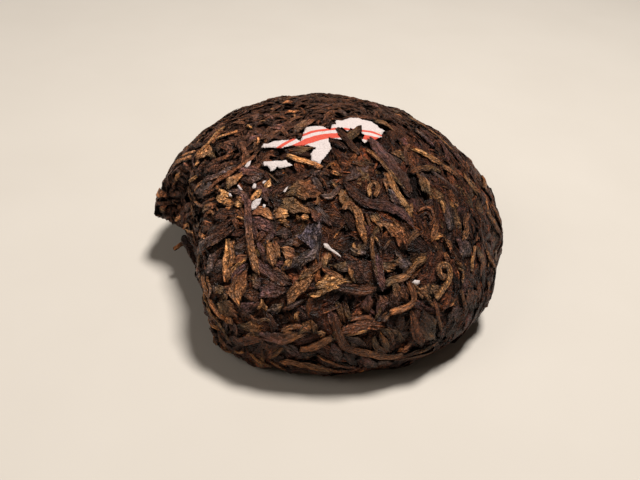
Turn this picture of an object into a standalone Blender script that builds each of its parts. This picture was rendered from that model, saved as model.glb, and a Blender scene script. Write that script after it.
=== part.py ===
"""A pressed nest of dark tea (a tuocha): a domed cake of compressed leaf with a hollow underneath, a piece broken
out of its left rim, and a torn paper ticket pressed into its crown. Metres, +Z up, resting on z = 0, with the origin
under the middle of the nest. The photograph looks along +Y and down. Azimuths run from +X round by +Y."""

import math
import random

import bmesh
import bpy
import numpy as np
from mathutils import Quaternion, Vector, noise
from mathutils.bvhtree import BVHTree

MM = 0.001

# The pressed body, without the leaves that stand out of it
GIRTH_RADIUS = 40.6 * MM
GIRTH_HEIGHT = 10.5 * MM
CROWN_HEIGHT = 39.5 * MM
CROWN_POWER = 2.1  # a superellipse: 2 is a round dome, more is squarer
CROWN_LEAN = Vector((-2.5, -2.5, 0.0)) * MM  # the top of the dome sits a little off the middle
LAND_OUTER = 35.0 * MM
LAND_INNER = 27.0 * MM
HOLLOW_RADIUS = 22.5 * MM
HOLLOW_DEPTH = 20.0 * MM
LIP_HEIGHT = 3.5 * MM
RING_STEPS = 40
CROWN_STEPS = 10
CENTRING = Vector((0.4, 1.0, 0.0)) * MM  # brings the finished nest's middle over the origin

# Lumps of leaf in the pressed surface
LUMP_DEPTH = 0.55 * MM
LUMP_SIZE = 4.5 * MM
CALM_HEIGHT = 2.0 * MM  # the lumps fade out towards the flat ring that the nest rests on
CALM_RADIUS = 19.0 * MM  # and they are shallow round the ticket

# The broken rim. The line of the break in plan, in millimetres, from the back of the rim round to its front: where
# the broken face meets the floor, and at its lip, where it stands out the most. Above the lip it slopes back again.
BREAK_FOOT = [
    (-52, 18), (-41, 13), (-35, 9.5), (-29.5, 1), (-27.5, -10), (-25.5, -21), (-23.5, -28), (-22, -34), (-20, -41),
    (-18, -53),
]
BREAK_LIP = [
    (-52, -2), (-42.5, -2.5), (-39, -3.5), (-34.3, -6), (-30, -14.5), (-27, -24.5), (-25, -31), (-22.8, -36),
    (-21.5, -41), (-19, -52),
]
BREAK_LIP_HEIGHT = 13.0 * MM
BREAK_SETBACK = [(17, 0), (22, 0.6), (27, 1.4), (31, 3), (36, 10)]  # height and distance back from the lip
BREAK_FACING = math.radians(205)
BREAK_STEP = 2.8 * MM
BREAK_RAGGED = 1.6 * MM
BREAK_GRAIN = 3.4 * MM

# How far the lower body stands out at azimuths round it, in degrees and millimetres, with a chip at 342
SWELL = [
    (0, 1.0), (12, 1.8), (30, 1.4), (50, 0.5), (70, 0), (150, 0), (165, 0.5), (180, 1.0), (200, 0.6), (235, 1.6),
    (247, 2.2), (260, 1.4), (275, 0.7), (290, 0.9), (318, 1.2), (333, 0.9), (342, -1.2), (351, 0.7), (360, 1.0),
]
SWELL_TOP = 26.0 * MM

# The ticket's showing pieces, in plan, in millimetres
TICKET_OUTLINES = {
    "ticket_main": [
        (-15.2, -10.6), (-9.7, -9.2), (-7.4, -6), (-4.2, -4.1), (-1.2, -4.4), (0, -2.6), (3.1, 0.6), (8.4, -0.2),
        (10.1, -2.8), (6.9, -8.2), (5.2, -6.6), (4.4, -4.6), (1, -6), (-1.7, -12.4), (-3.2, -16.6), (-5, -15.6),
        (-5.4, -12), (-12.5, -12.4),
    ],
    "ticket_scrap": [(-14.6, -16.2), (-11.2, -15.6), (-8.7, -16.8), (-12.2, -18.3)],
    "ticket_fleck": [(-16.3, -23.6), (-14.2, -23.9), (-13.6, -25.2), (-14.9, -26.2)],
}
TICKET_THICKNESS = 0.4 * MM
TICKET_SUNK = 0.1 * MM  # its upper face lies this far under the pressed surface
TICKET_GAP = 0.3 * MM
TICKET_REACH = 31.0 * MM
TEAR_STEP = 1.5 * MM
TEAR_RAGGED = 0.2 * MM

# The leaves and stems that the photograph shows best: the azimuth in degrees and the distance from the crown in
# millimetres where each starts, its heading in degrees (0 runs round the nest, 90 up to the crown), its length and
# width in millimetres, and how far it turns in degrees from end to end.
SHOWING_LEAVES = {
    "gold_stem": (239, 14.5, 3, 8.5, 1.5, 0),
    "grey_leaf_left": (220, 31.5, 91, 12, 2.2, 0),
    "grey_leaf_right": (227, 31.5, 96, 14, 2.0, -4),
    "fork_stem": (233, 27.5, -44, 15.5, 2.0, -14),
    "gold_flake": (222, 30, 5, 6, 2.6, 10),
    "left_stem": (238, 37, -76, 8.5, 1.5, 4),
    "tapered_leaf": (246, 39, -90, 10, 3.0, 0),
    "brown_hook": (252, 35, -58, 5.5, 1.9, -20),
    "brown_chip": (261, 34, -104, 5, 1.9, 0),
    "purple_stem": (251, 39, -12, 8.5, 2.1, 0),
    "diagonal_leaf": (260, 44.5, 52, 10, 2.5, -6),
    "golden_leaf": (266, 42.5, 22, 7.5, 3.2, 0),
    "grey_flake": (257, 36, 42, 7, 4.4, 0),
    "grey_flake_low": (256, 40, 38, 6, 3.4, 0),
    "veined_flake": (251, 24.5, 36, 8, 5.4, 0),
    "long_dark_leaf": (318, 5, -94, 22, 2.8, 5),
    "olive_leaf": (310, 15.5, -90, 11, 1.9, -8),
    "tan_stem": (311, 23, -100, 7.5, 1.9, -16),
    "dark_arc": (282, 21, -24, 17, 2.3, -16),
    "brown_leaf": (282, 25, -72, 9.5, 2.6, -8),
    "upright_stem": (288, 31, -86, 15, 1.8, 4),
    "lying_stem": (273, 41.5, -6, 22, 1.9, 26),
    "hooked_stem": (297, 41, -66, 10.5, 1.7, -105),
    "lower_stem": (295, 48, -68, 10.5, 2.3, -5),
    "arched_stem": (273, 44.5, -84, 25, 1.9, 72),
    "orange_stem": (264, 56, 37, 7.5, 1.8, 0),
    "red_leaf": (274, 51, 19, 8, 2.8, 0),
    "lip_leaf_high": (242, 56, 24, 17, 2.8, 6),
    "lip_leaf_low": (246, 61, 16, 15, 2.6, 5),
    "edge_stem": (230, 46, -47, 11, 1.7, 6),
    "upper_left_stem": (189, 28, 97, 8.5, 1.6, 0),
    "right_line": (23, 26.5, -167, 9, 1.0, 0),
    "right_gold": (348, 19.5, -85, 7.5, 2.2, 0),
    "right_chip": (6, 40, 168, 5, 1.7, 0),
    "bottom_leaf": (257, 62, 1, 14, 2.5, 3),
    "right_upper": (348, 33.5, -150, 10, 2.4, 0),
    "right_lower": (332, 41.5, -142, 11, 2.4, 0),
    "right_middle": (327, 34, -120, 10, 2.2, 0),
    "back_leaf": (69, 17, -164, 16, 2.4, 0),
    "back_left_leaf": (151, 28, 132, 16, 2.4, 0),
}
# Stems that stand in the break: where each starts and ends, and its width, all in millimetres
LOOSE_STEMS = {
    "bite_stem": ((-31.5, -7.6, 10.5), (-35.9, -10.2, 8.3), 1.4),
    "bite_leaf": ((-33.9, -7.8, 10.5), (-28.6, -19.6, 12.5), 1.9),
}

# The curled stem: it starts like the leaves above, turns most of a circle and ends in a straight tail
CURL_START = (310, 43, 60)
CURL_WIDTH = 1.4 * MM
CURL_RADIUS = 1.5 * MM
CURL_TAIL = 5.0 * MM
CURL_TURN = math.radians(-290)
CURL_STATIONS = 10

# The rest of the leaves, spread evenly over the outside by a seeded rule
SCATTERED_LEAVES = 52
SCATTER_SEED = 11
GOLDEN_ANGLE = math.pi * (3 - math.sqrt(5))
LEAF_LENGTH = (6 * MM, 15 * MM)
LEAF_WIDTH = (1.7 * MM, 3.2 * MM)
LEAF_STATIONS = 4
LEAF_RISE = 0.75 * MM
LEAF_ROOT = 0.7 * MM
LOWEST_LEAF = 0.7 * MM


def crown_profile(steps):
    """(radius, height) from the flat ring's outer edge up over the girth to the crown's pole."""
    points = []
    for i in range(steps // 3):
        turn = math.pi / 2 * i / (steps // 3)
        radius = LAND_OUTER + (GIRTH_RADIUS - LAND_OUTER) * math.sin(turn)
        points.append((radius, GIRTH_HEIGHT * (1 - math.cos(turn))))
    for i in range(steps + 1):
        turn = math.pi / 2 * i / steps
        radius = GIRTH_RADIUS * math.cos(turn) ** (2 / CROWN_POWER)
        rise = (CROWN_HEIGHT - GIRTH_HEIGHT) * math.sin(turn) ** (2 / CROWN_POWER)
        points.append((radius, GIRTH_HEIGHT + rise))
    points[-1] = (0.0, CROWN_HEIGHT)
    return points


def hollow_profile(steps):
    """(radius, height) from the hollow's pole down to its mouth and the flat ring's inner edge."""
    points = []
    for i in range(steps):
        turn = math.pi / 2 * i / steps
        height = LIP_HEIGHT + (HOLLOW_DEPTH - LIP_HEIGHT) * math.cos(turn)
        points.append((HOLLOW_RADIUS * math.sin(turn), height))
    for i in range(3):
        turn = math.pi / 2 * i / 3
        radius = LAND_INNER - (LAND_INNER - HOLLOW_RADIUS) * math.cos(turn)
        points.append((radius, LIP_HEIGHT * (1 - math.sin(turn))))
    points.append((LAND_INNER, 0.0))
    return points


def leaning(point):
    """The dome's top leans more the higher it is."""
    return point + CROWN_LEAN * (point.z / CROWN_HEIGHT) ** 2


def swell(azimuth, height):
    azimuths, amounts = np.array(SWELL).T
    fade = min(1.0, max(0.0, 2 - 2 * height / SWELL_TOP))
    return float(np.interp(math.degrees(azimuth) % 360, azimuths, amounts)) * MM * fade


def lump(point):
    """How far the pressed leaf under the surface pushes it out at a point."""
    calm = min(1.0, point.z / CALM_HEIGHT)
    crown = (point - leaning(Vector((0, 0, CROWN_HEIGHT)))).length
    calm *= 0.25 + 0.75 * min(1.0, max(0.0, crown / CALM_RADIUS - 0.6) / 0.4)
    return LUMP_DEPTH * calm * noise.noise(point / LUMP_SIZE)


def ring_mesh(profile, steps, shape=lambda point, azimuth: point):
    """A bmesh that turns a profile about Z. Its ends are closed at the axis where their radius is 0."""
    made = bmesh.new()
    rings = []
    for radius, height in profile:
        if radius == 0.0:
            rings.append([made.verts.new(shape(Vector((0, 0, height)), 0.0))])
            continue
        ring = []
        for i in range(steps):
            azimuth = math.tau * i / steps
            point = Vector((radius * math.cos(azimuth), radius * math.sin(azimuth), height))
            ring.append(made.verts.new(shape(point, azimuth)))
        rings.append(ring)
    for low, high in zip(rings, rings[1:]):
        for i in range(steps):
            a, b = low[i % len(low)], low[(i + 1) % len(low)]
            c, d = high[(i + 1) % len(high)], high[i % len(high)]
            made.faces.new([v for k, v in enumerate((a, b, c, d)) if v not in (a, b, c, d)[:k]])
    return made


def add_object(name, made):
    mesh = bpy.data.meshes.new(name)
    bmesh.ops.triangulate(made, faces=made.faces)
    bmesh.ops.recalc_face_normals(made, faces=made.faces)
    made.to_mesh(mesh)
    made.free()
    added = bpy.data.objects.new(name, mesh)
    bpy.context.scene.collection.objects.link(added)
    return added


def apply_boolean(body, operation, other, solver="EXACT"):
    """Applies one Boolean with an object or a collection, and removes what it used."""
    modifier = body.modifiers.new(operation.lower(), "BOOLEAN")
    modifier.operation = operation
    modifier.solver = solver
    if isinstance(other, bpy.types.Collection):
        modifier.operand_type = "COLLECTION"
        modifier.collection = other
    else:
        modifier.object = other
    evaluated = body.evaluated_get(bpy.context.evaluated_depsgraph_get())
    mesh = bpy.data.meshes.new_from_object(evaluated)
    body.modifiers.clear()
    body.data = mesh
    used = list(other.objects) if isinstance(other, bpy.types.Collection) else [other]
    for tool in used:
        bpy.data.objects.remove(tool)
    if isinstance(other, bpy.types.Collection):
        bpy.data.collections.remove(other)


def pressed_body(crown_steps, ring_steps, lumps):
    """The nest before it was broken, with or without the lumps of its surface."""

    def shape(point, azimuth):
        outward = Vector((point.x, point.y, point.z - GIRTH_HEIGHT)).normalized()
        side = Vector((math.cos(azimuth), math.sin(azimuth), 0))
        outer = math.hypot(point.x, point.y) > LAND_INNER
        moved = leaning(point) + side * (swell(azimuth, point.z) if outer else 0.0)
        return moved + outward * (lump(moved) if lumps else 0.0)

    profile = hollow_profile(crown_steps // 2) + crown_profile(crown_steps)
    return ring_mesh(profile, ring_steps, shape)


def walk_line(corners, step, measured=None):
    """Points about a step apart along straight runs between corners, as counted on a like line if one is given."""
    points = []
    measured = measured or corners
    for start, end, first, last in zip(corners, corners[1:], measured, measured[1:]):
        count = max(1, round((last - first).length / step))
        points += [start.lerp(end, i / count) for i in range(count)]
    return points + [corners[-1]]


def break_cutter():
    """The piece that was broken off, with the ragged face that it left."""
    facing = Vector((math.cos(BREAK_FACING), math.sin(BREAK_FACING), 0))
    foot, lip = [[Vector((x, y, 0)) * MM for x, y in line] for line in (BREAK_FOOT, BREAK_LIP)]
    heights, setbacks = np.array(BREAK_SETBACK).T * MM
    made = bmesh.new()
    rows = []
    for height in np.arange(-2 * MM, heights[-1] + BREAK_STEP, BREAK_STEP):
        share = min(1.0, max(0.0, height / BREAK_LIP_HEIGHT))
        share = share * share * (3 - 2 * share)
        line = walk_line([low.lerp(high, share) for low, high in zip(foot, lip)], BREAK_STEP, lip)
        back = np.interp(height, heights, setbacks)
        row = []
        for point in line:
            ragged = BREAK_RAGGED * noise.noise(Vector((point.x, point.y, height)) / BREAK_GRAIN)
            row.append(made.verts.new(point + facing * (ragged - back) + Vector((0, 0, height))))
        far = [line[-1] + facing * 40 * MM, line[0] + facing * 40 * MM]
        row += [made.verts.new(point + Vector((0, 0, height))) for point in far]
        rows.append(row)
    for low, high in zip(rows, rows[1:]):
        for i, vertex in enumerate(low):
            after = (i + 1) % len(low)
            made.faces.new((vertex, low[after], high[after], high[i]))
    made.faces.new(rows[0])
    made.faces.new(rows[-1])
    return add_object("break_cutter", made)


def torn_outline(corners, seed, grow=0.0):
    """A ragged outline through the corners, moved out by a margin."""
    draw = random.Random(seed)
    points = [Vector((x, y, 0)) * MM for x, y in corners]
    line = walk_line(points + points[:1], TEAR_STEP)[:-1]
    torn = []
    for i, point in enumerate(line):
        along = line[(i + 1) % len(line)] - line[i - 1]
        out = Vector((-along.y, along.x, 0)).normalized()
        torn.append(point + out * (grow + draw.uniform(-TEAR_RAGGED, TEAR_RAGGED)))
    return torn


def prism(name, outline, low, high):
    """The outline stood up between two heights."""
    made = bmesh.new()
    floor = [made.verts.new((p.x, p.y, low)) for p in outline]
    roof = [made.verts.new((p.x, p.y, high)) for p in outline]
    for i in range(len(outline)):
        after = (i + 1) % len(outline)
        made.faces.new((floor[i], floor[after], roof[after], roof[i]))
    made.faces.new(list(reversed(floor)))
    made.faces.new(roof)
    return add_object(name, made)


def crown_shell(name, inner, outer):
    """The crown between two offsets from the pressed surface, out to the ticket's reach."""
    profile = [(r, z) for r, z in crown_profile(24) if r < TICKET_REACH and z > GIRTH_HEIGHT]
    under = [(r, z + inner) for r, z in reversed(profile)]
    over = [(r, z + outer) for r, z in profile]
    return add_object(name, ring_mesh(under + over, 30, lambda point, azimuth: leaning(point)))


def ticket_piece(name, corners, seed):
    piece = crown_shell(name, -TICKET_SUNK - TICKET_THICKNESS, -TICKET_SUNK)
    apply_boolean(piece, "INTERSECT", prism("tear", torn_outline(corners, seed), 0.0, 2 * CROWN_HEIGHT))
    return piece


def ticket_pocket(corners, seed):
    pocket = crown_shell("pocket", -TICKET_SUNK - TICKET_THICKNESS - TICKET_GAP, CROWN_HEIGHT)
    outline = torn_outline(corners, seed, TICKET_GAP + TEAR_RAGGED)
    apply_boolean(pocket, "INTERSECT", prism("pocket_tear", outline, 0.0, 3 * CROWN_HEIGHT))
    return pocket


class Surface:
    """The broken body's smooth surface, which leaves are laid along."""

    def __init__(self, body):
        made = bmesh.new()
        made.from_mesh(body.data)
        self.tree = BVHTree.FromBMesh(made)
        made.free()
        self.profile = list(reversed(crown_profile(48)))
        self.drops = [0.0]
        for (r0, z0), (r1, z1) in zip(self.profile, self.profile[1:]):
            self.drops.append(self.drops[-1] + math.hypot(r1 - r0, z1 - z0))

    def nearest(self, point):
        where, normal, _, _ = self.tree.find_nearest(point)
        return where, normal

    def at(self, azimuth, drop):
        """The surface's point and normal at an azimuth and at a distance down from the crown."""
        i = next((k for k, d in enumerate(self.drops) if d >= drop), len(self.drops) - 1)
        i = max(1, i)
        share = (drop - self.drops[i - 1]) / (self.drops[i] - self.drops[i - 1])
        (r0, z0), (r1, z1) = self.profile[i - 1], self.profile[i]
        radius, height = r0 + (r1 - r0) * share, z0 + (z1 - z0) * share
        point = Vector((radius * math.cos(azimuth), radius * math.sin(azimuth), height))
        return self.nearest(leaning(point))

    def path(self, azimuth, drop, heading, length, turning, stations):
        """(point, direction, normal) at each station of a leaf that is laid along the surface.
        turning gives the turn in radians over a share of the length."""
        point, normal = self.at(azimuth, drop)
        around = Vector((-math.sin(azimuth), math.cos(azimuth), 0))
        around = (around - normal * around.dot(normal)).normalized()
        direction = Quaternion(normal, heading) @ around
        walked = [(point, direction, normal)]
        for i in range(stations - 1):
            direction = Quaternion(normal, turning(i / (stations - 1))) @ direction
            point, normal = self.nearest(point + direction * length / (stations - 1))
            direction = (direction - normal * direction.dot(normal)).normalized()
            walked.append((point, direction, normal))
        return walked


def leaf_object(name, path, width):
    """A closed leaf with four sides: a keel in the body, two edges, and a ridged back. Its ends sink in."""
    made = bmesh.new()
    rings = []
    for i, (point, direction, normal) in enumerate(path):
        share = i / (len(path) - 1)
        half = width / 2 * (0.45 + 0.55 * math.sin(math.pi * min(1.0, 0.15 + 0.85 * share)))
        side = normal.cross(direction)
        section = [(-1.0, 0.1), (0.1, 1.0), (1.0, 0.1), (0.0, -1.0)]
        ring = []
        for across, up in section:
            rise = LEAF_RISE * up * (0.15 if i in (0, len(path) - 1) else 1.0) if up > 0 else LEAF_ROOT * up
            corner = point + side * half * across + normal * rise
            corner.z = max(corner.z, LOWEST_LEAF)
            ring.append(made.verts.new(corner))
        rings.append(ring)
    for low, high in zip(rings, rings[1:]):
        for i in range(len(low)):
            after = (i + 1) % len(low)
            made.faces.new((low[i], low[after], high[after], high[i]))
    made.faces.new(rings[0])
    made.faces.new(rings[-1])
    return add_object(name, made)


def inside(point, corners):
    """Whether a point lies over an outline in plan."""
    within = False
    for (x0, y0), (x1, y1) in zip(corners, corners[1:] + corners[:1]):
        x, y = point.x / MM, point.y / MM
        if (y0 > y) != (y1 > y) and x < x0 + (x1 - x0) * (y - y0) / (y1 - y0):
            within = not within
    return within


def over_ticket(point):
    return point.z > CROWN_HEIGHT / 2 and any(inside(point, c) for c in TICKET_OUTLINES.values())


def showing_leaves(surface):
    made = []
    for name, (azimuth, drop, heading, length, width, turn) in SHOWING_LEAVES.items():
        stations = max(LEAF_STATIONS, round(length / 3))
        path = surface.path(
            math.radians(azimuth), drop * MM, math.radians(heading), length * MM,
            lambda share: math.radians(turn) / (stations - 1), stations,
        )
        made.append(leaf_object(name, path, width * MM))
    return made


def loose_stems():
    made = []
    for name, (start, end, width) in LOOSE_STEMS.items():
        start, end = Vector(start) * MM, Vector(end) * MM
        along = (end - start).normalized()
        up = (Vector((0, 0, 1)) - along * along.z).normalized()
        path = [(start.lerp(end, i / (LEAF_STATIONS - 1)), along, up) for i in range(LEAF_STATIONS)]
        made.append(leaf_object(name, path, width * MM))
    return made


def curled_stem(surface):
    azimuth, drop, heading = CURL_START
    coil = CURL_RADIUS * abs(CURL_TURN)
    share_coiled = coil / (coil + CURL_TAIL)
    turn = CURL_TURN / (share_coiled * (CURL_STATIONS - 1))
    path = surface.path(
        math.radians(azimuth), drop * MM, math.radians(heading), coil + CURL_TAIL,
        lambda share: turn if share < share_coiled else 0.0, CURL_STATIONS,
    )
    return leaf_object("curled_stem", path, CURL_WIDTH)


def scattered_leaves(surface):
    """Leaves over the whole outside, on a spiral with a seeded shift of each. At the back they run round the nest."""
    draw = random.Random(SCATTER_SEED)
    made = []
    for i in range(SCATTERED_LEAVES):
        share = (i + 0.5) / SCATTERED_LEAVES
        azimuth = (i * GOLDEN_ANGLE + draw.uniform(-0.1, 0.1)) % math.tau
        drop = surface.drops[-1] * (0.06 + 0.86 * share ** 0.62)
        length = draw.uniform(*LEAF_LENGTH)
        width = draw.uniform(*LEAF_WIDTH)
        spread = 0.5 if math.sin(azimuth) > 0 else 1.2
        heading = draw.gauss(0, spread) + math.pi * draw.randrange(2)
        turn = draw.gauss(0, 0.25) / LEAF_STATIONS
        path = surface.path(azimuth, drop, heading, length, lambda share: turn, LEAF_STATIONS)
        if not any(over_ticket(point) for point, _, _ in path):
            made.append(leaf_object(f"leaf_{i}", path, width))
    return made


def drop_scraps(body):
    """Keeps only the largest joined piece of a body."""
    made = bmesh.new()
    made.from_mesh(body.data)
    left = set(made.verts)
    pieces = []
    while left:
        piece, edge_of_piece = set(), [next(iter(left))]
        while edge_of_piece:
            vertex = edge_of_piece.pop()
            if vertex in piece:
                continue
            piece.add(vertex)
            edge_of_piece += [edge.other_vert(vertex) for edge in vertex.link_edges]
        left -= piece
        pieces.append(piece)
    largest = max(pieces, key=len)
    bmesh.ops.delete(made, geom=[v for v in made.verts if v not in largest], context="VERTS")
    made.to_mesh(body.data)
    made.free()


def material(name, colour, roughness):
    made = bpy.data.materials.new(name)
    made.use_nodes = True
    shader = made.node_tree.nodes["Principled BSDF"]
    shader.inputs["Base Color"].default_value = (*colour, 1)
    shader.inputs["Roughness"].default_value = roughness
    shader.inputs["Metallic"].default_value = 0.0
    return made


def finish(body, paint):
    body.data.materials.clear()
    body.data.materials.append(paint)
    for vertex in body.data.vertices:
        vertex.co += CENTRING


def main():
    for old in list(bpy.data.objects):
        bpy.data.objects.remove(old)
    smooth = add_object("smooth_body", pressed_body(2 * CROWN_STEPS, RING_STEPS, False))
    apply_boolean(smooth, "DIFFERENCE", break_cutter())
    surface = Surface(smooth)
    bpy.data.objects.remove(smooth)

    tea = add_object("pressed_tea", pressed_body(CROWN_STEPS, RING_STEPS, True))
    apply_boolean(tea, "DIFFERENCE", break_cutter())
    leaves = bpy.data.collections.new("leaves")
    for leaf in [*showing_leaves(surface), curled_stem(surface), *loose_stems(), *scattered_leaves(surface)]:
        bpy.context.scene.collection.objects.unlink(leaf)
        leaves.objects.link(leaf)
    bpy.context.scene.collection.children.link(leaves)
    apply_boolean(tea, "UNION", leaves, "MANIFOLD")
    for seed, corners in enumerate(TICKET_OUTLINES.values()):
        apply_boolean(tea, "DIFFERENCE", ticket_pocket(corners, seed))
    drop_scraps(tea)
    finish(tea, material("pressed tea", (0.035, 0.017, 0.010), 0.75))

    paper = material("ticket paper", (0.80, 0.74, 0.70), 0.85)
    for seed, (name, corners) in enumerate(TICKET_OUTLINES.items()):
        finish(ticket_piece(name, corners, seed), paper)


main()
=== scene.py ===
"""The looks of a pressed nest of dark tea: a crumpled dome of real leaves, stems and flakes over a dark core,
with the torn remains of a printed paper ticket in its crown. Lengths are in millimetres until a mesh is made,
in the frame of the nest before it was centred. Azimuths run from +X round by +Y, in degrees if not said."""

import math
from collections import namedtuple

import bmesh
import bpy
import numpy as np
from mathutils import Matrix, Quaternion, Vector, noise
from mathutils.bvhtree import BVHTree
from mathutils.geometry import delaunay_2d_cdt
from mathutils.kdtree import KDTree


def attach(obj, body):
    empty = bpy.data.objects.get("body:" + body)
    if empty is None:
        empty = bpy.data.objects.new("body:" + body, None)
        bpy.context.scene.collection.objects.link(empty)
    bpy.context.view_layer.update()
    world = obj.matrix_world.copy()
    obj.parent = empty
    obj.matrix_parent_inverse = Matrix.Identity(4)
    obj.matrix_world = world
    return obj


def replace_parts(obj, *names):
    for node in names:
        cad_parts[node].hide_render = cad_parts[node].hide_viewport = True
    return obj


MM = 0.001

# The pressed body, as its source has it
GIRTH_RADIUS, GIRTH_HEIGHT = 40.6, 10.5
CROWN_HEIGHT, CROWN_POWER = 39.5, 2.1
CROWN_LEAN = np.array((-2.5, -2.5, 0.0))
LAND_OUTER, LAND_INNER = 35.0, 27.0
HOLLOW_RADIUS, HOLLOW_DEPTH, LIP_HEIGHT = 22.5, 20.0, 3.5
CENTRING = np.array((0.4, 1.0, 0.0))
LUMP_DEPTH, LUMP_SIZE = 0.55, 4.5
CALM_HEIGHT, CALM_RADIUS = 2.0, 19.0
# The break: its line on the floor and the line of its lip, in plan, from back to front
BREAK_FOOT = [
    (-52, 18), (-41, 13), (-35, 9.5), (-29.5, 1), (-27.5, -10), (-25.5, -21), (-23.5, -28), (-22, -34),
    (-20, -41), (-18, -53),
]
BREAK_LIP = [
    (-52, -2), (-42.5, -2.5), (-39, -3.5), (-34.3, -6), (-30, -14.5), (-27, -24.5), (-25, -31),
    (-22.8, -36), (-21.5, -41), (-19, -52),
]
BREAK_LIP_HEIGHT = 13.0
BREAK_SETBACK = [(17, 0), (22, 0.6), (27, 1.4), (31, 3), (36, 10)]  # by height, where the break leans back
BREAK_FACING = math.radians(205)
BREAK_STEP = 1.4
BREAK_RAGGED, BREAK_GRAIN = 1.6, 3.4
BREAK_REACH = 40.0  # how far out the piece that is cut away goes
LIP_WIDTH = 3.5
# How far the girth stands out, by azimuth, and the height at which that has faded away
SWELL = [
    (0, 1.0), (12, 1.8), (30, 1.4), (50, 0.5), (70, 0), (150, 0), (165, 0.5), (180, 1.0), (200, 0.6),
    (235, 1.6), (247, 2.2), (260, 1.4), (275, 0.7), (290, 0.9), (318, 1.2), (333, 0.9), (342, -1.2),
    (351, 0.7), (360, 1.0),
]
SWELL_TOP = 26.0
CROWN_STEPS, RING_STEPS, HOLLOW_STEPS = 30, 150, 14
DROP_STEPS = 48  # how finely the way down from the crown is measured

# The core behind the leaves: how deep it lies, and the depth and size of its relief
CORE_DEPTH = 1.4
CORE_RELIEF = [(0.5, 2.2), (0.35, 0.9)]

# The ticket's remnants, as outlines in plan
TICKET_OUTLINES = {
    "ticket_main": [
        (-15.3, -10.7), (-15.3, -9.5), (-13.9, -9.6), (-13.2, -9.1), (-9.8, -8.8), (-8.8, -8.5),
        (-7.5, -9.3), (-7, -6.3), (-6.5, -4), (-5.1, -3.6), (-3, -3.6), (-1.5, -4.6), (-1.2, -2.5),
        (-0.4, -2.3), (-0.4, -0.4), (1.1, 0.4), (3, 2.3), (4.5, 2.5), (5.4, 1.5), (7.3, 1.8), (8.6, 0.4),
        (9.2, -0.8), (10.3, -1.1), (9.5, -4.1), (8.2, -5.9), (6.6, -7.1), (5.7, -8), (5.3, -7.2), (5.8, -5),
        (4.9, -3.8), (3.9, -3.9), (2.8, -2.7), (2.2, -4.7), (0.8, -3.1), (-0.1, -5.1), (1, -6.1),
        (1.8, -8.1), (0.1, -7.8), (-1.7, -7.8), (-1.5, -9.5), (-0.9, -11.2), (-2.1, -13.8), (-3.2, -16.2),
        (-4.8, -15.3), (-5.1, -13.4), (-4.7, -12), (-4.8, -11.1), (-6.3, -10.9), (-9, -10.8),
        (-11.2, -11.4), (-13.8, -11.1),
    ],
    "ticket_scrap": [
        (-14.8, -15.4), (-14.2, -16.4), (-13.4, -16.6), (-12.8, -17.7), (-12, -17.5), (-11.7, -16.7),
        (-11, -17.1), (-9.7, -16.9), (-8.5, -16.6), (-9.4, -15.8), (-10, -14.8), (-10.8, -15.1),
        (-12.4, -15.1), (-13.3, -15.4),
    ],
    "ticket_fleck": [
        (-15.8, -25.1), (-15.4, -24.2), (-14.7, -23.9), (-13.8, -23.8), (-14, -25), (-14.8, -25.8),
        (-15.4, -25.9),
    ],
}
TICKET_SPECKS = [
    [(-18, -16.3), (-17.6, -15.3), (-16.8, -15.1), (-17, -16.2), (-17.5, -16.6)],
    [(-19, -20.3), (-18.7, -20.2), (-17.8, -21.4), (-18.4, -21.3)],
    [(-16, -21.2), (-15.7, -20.4), (-15.2, -20.7), (-15.2, -21.5), (-15.7, -21.6)],
    [(-14.1, -20.7), (-13.9, -20.2), (-13.3, -20.2), (-13.7, -20.8)],
    [(-9.7, -23.3), (-9.3, -22.5), (-8.8, -22.1), (-9.1, -23.2), (-9.4, -23.6)],
    [(-13.5, -25.7), (-13.3, -25.1), (-12.8, -25.3), (-13, -25.8)],
    [(-20.6, -21.4), (-20.1, -21.7), (-19.8, -22.4), (-20.3, -22.3)],
    [(16.1, -33.6), (16.6, -33.1), (17.6, -32.8), (17.7, -33.1), (17, -33.7)],
    [
        (-1.4, -32.1), (-0.6, -31.95), (0.2, -32.5), (2.1, -33.45), (1.95, -33.65), (-0.1, -32.95),
        (-1.1, -32.6),
    ],
]
TICKET_LIFT, SPECK_LIFT = 0.10, 0.60  # how far they lie over the pressed surface
PAPER_SEED = 5
PAPER_CREASES = [(0.14, 1.1, 9.0), (0.20, 3.1, 3.0)]  # their depth and size, and where their noise is taken
PAPER_THICK, PAPER_EDGE = 0.12, 0.05
PAPER_GRID, PAPER_CLEAR, TORN_STEP = 0.42, 0.22, 0.3  # how far points lie apart, off the edge and along it
LINES_CENTRE, LINES_RADIUS = (6.0, -27.0), 21.6  # the arc that the printed lines follow
LINES = [(-1.15, 0.55), (1.75, 2.45)]  # from where to where each of them goes, out from that arc
LINE_BLUR = 0.12

# Leaf colours, linear
TINTS = {
    "black": (0.0250, 0.0078, 0.0032),
    "deep": (0.0370, 0.0125, 0.0058),
    "dark": (0.0580, 0.0190, 0.0074),
    "brown": (0.1080, 0.0365, 0.0140),
    "chestnut": (0.1600, 0.0520, 0.0195),
    "tan": (0.2100, 0.0860, 0.0320),
    "gold": (0.3450, 0.1580, 0.0560),
    "orange": (0.3550, 0.1310, 0.0450),
    "olive": (0.1120, 0.0590, 0.0250),
    "grey": (0.0760, 0.0480, 0.0390),
    "purple": (0.0800, 0.0330, 0.0260),
    "mauve": (0.0720, 0.0500, 0.0510),
}
COMMON_TINT = (0.0840, 0.0335, 0.0165)
SHOWING_CALM = 0.05  # how much of the common colour the showing leaves have
EDGE_WEAR_AND_GLINT = (0.16, 0.070, 0.022)  # what a leaf's edges gain: real wear, with painted highlight where thin edges catch the light
MOST_TINT = 0.7
DEEP_SHADE_HUE = np.array((1.0, 1.12, 1.32))  # painted shade deep down: the deeper a leaf lies, the redder its shade
RIM_PAINTED_SHADE = 0.35  # painted shade on a leaf's cut rims and ends: how dark they are beside its face
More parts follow.
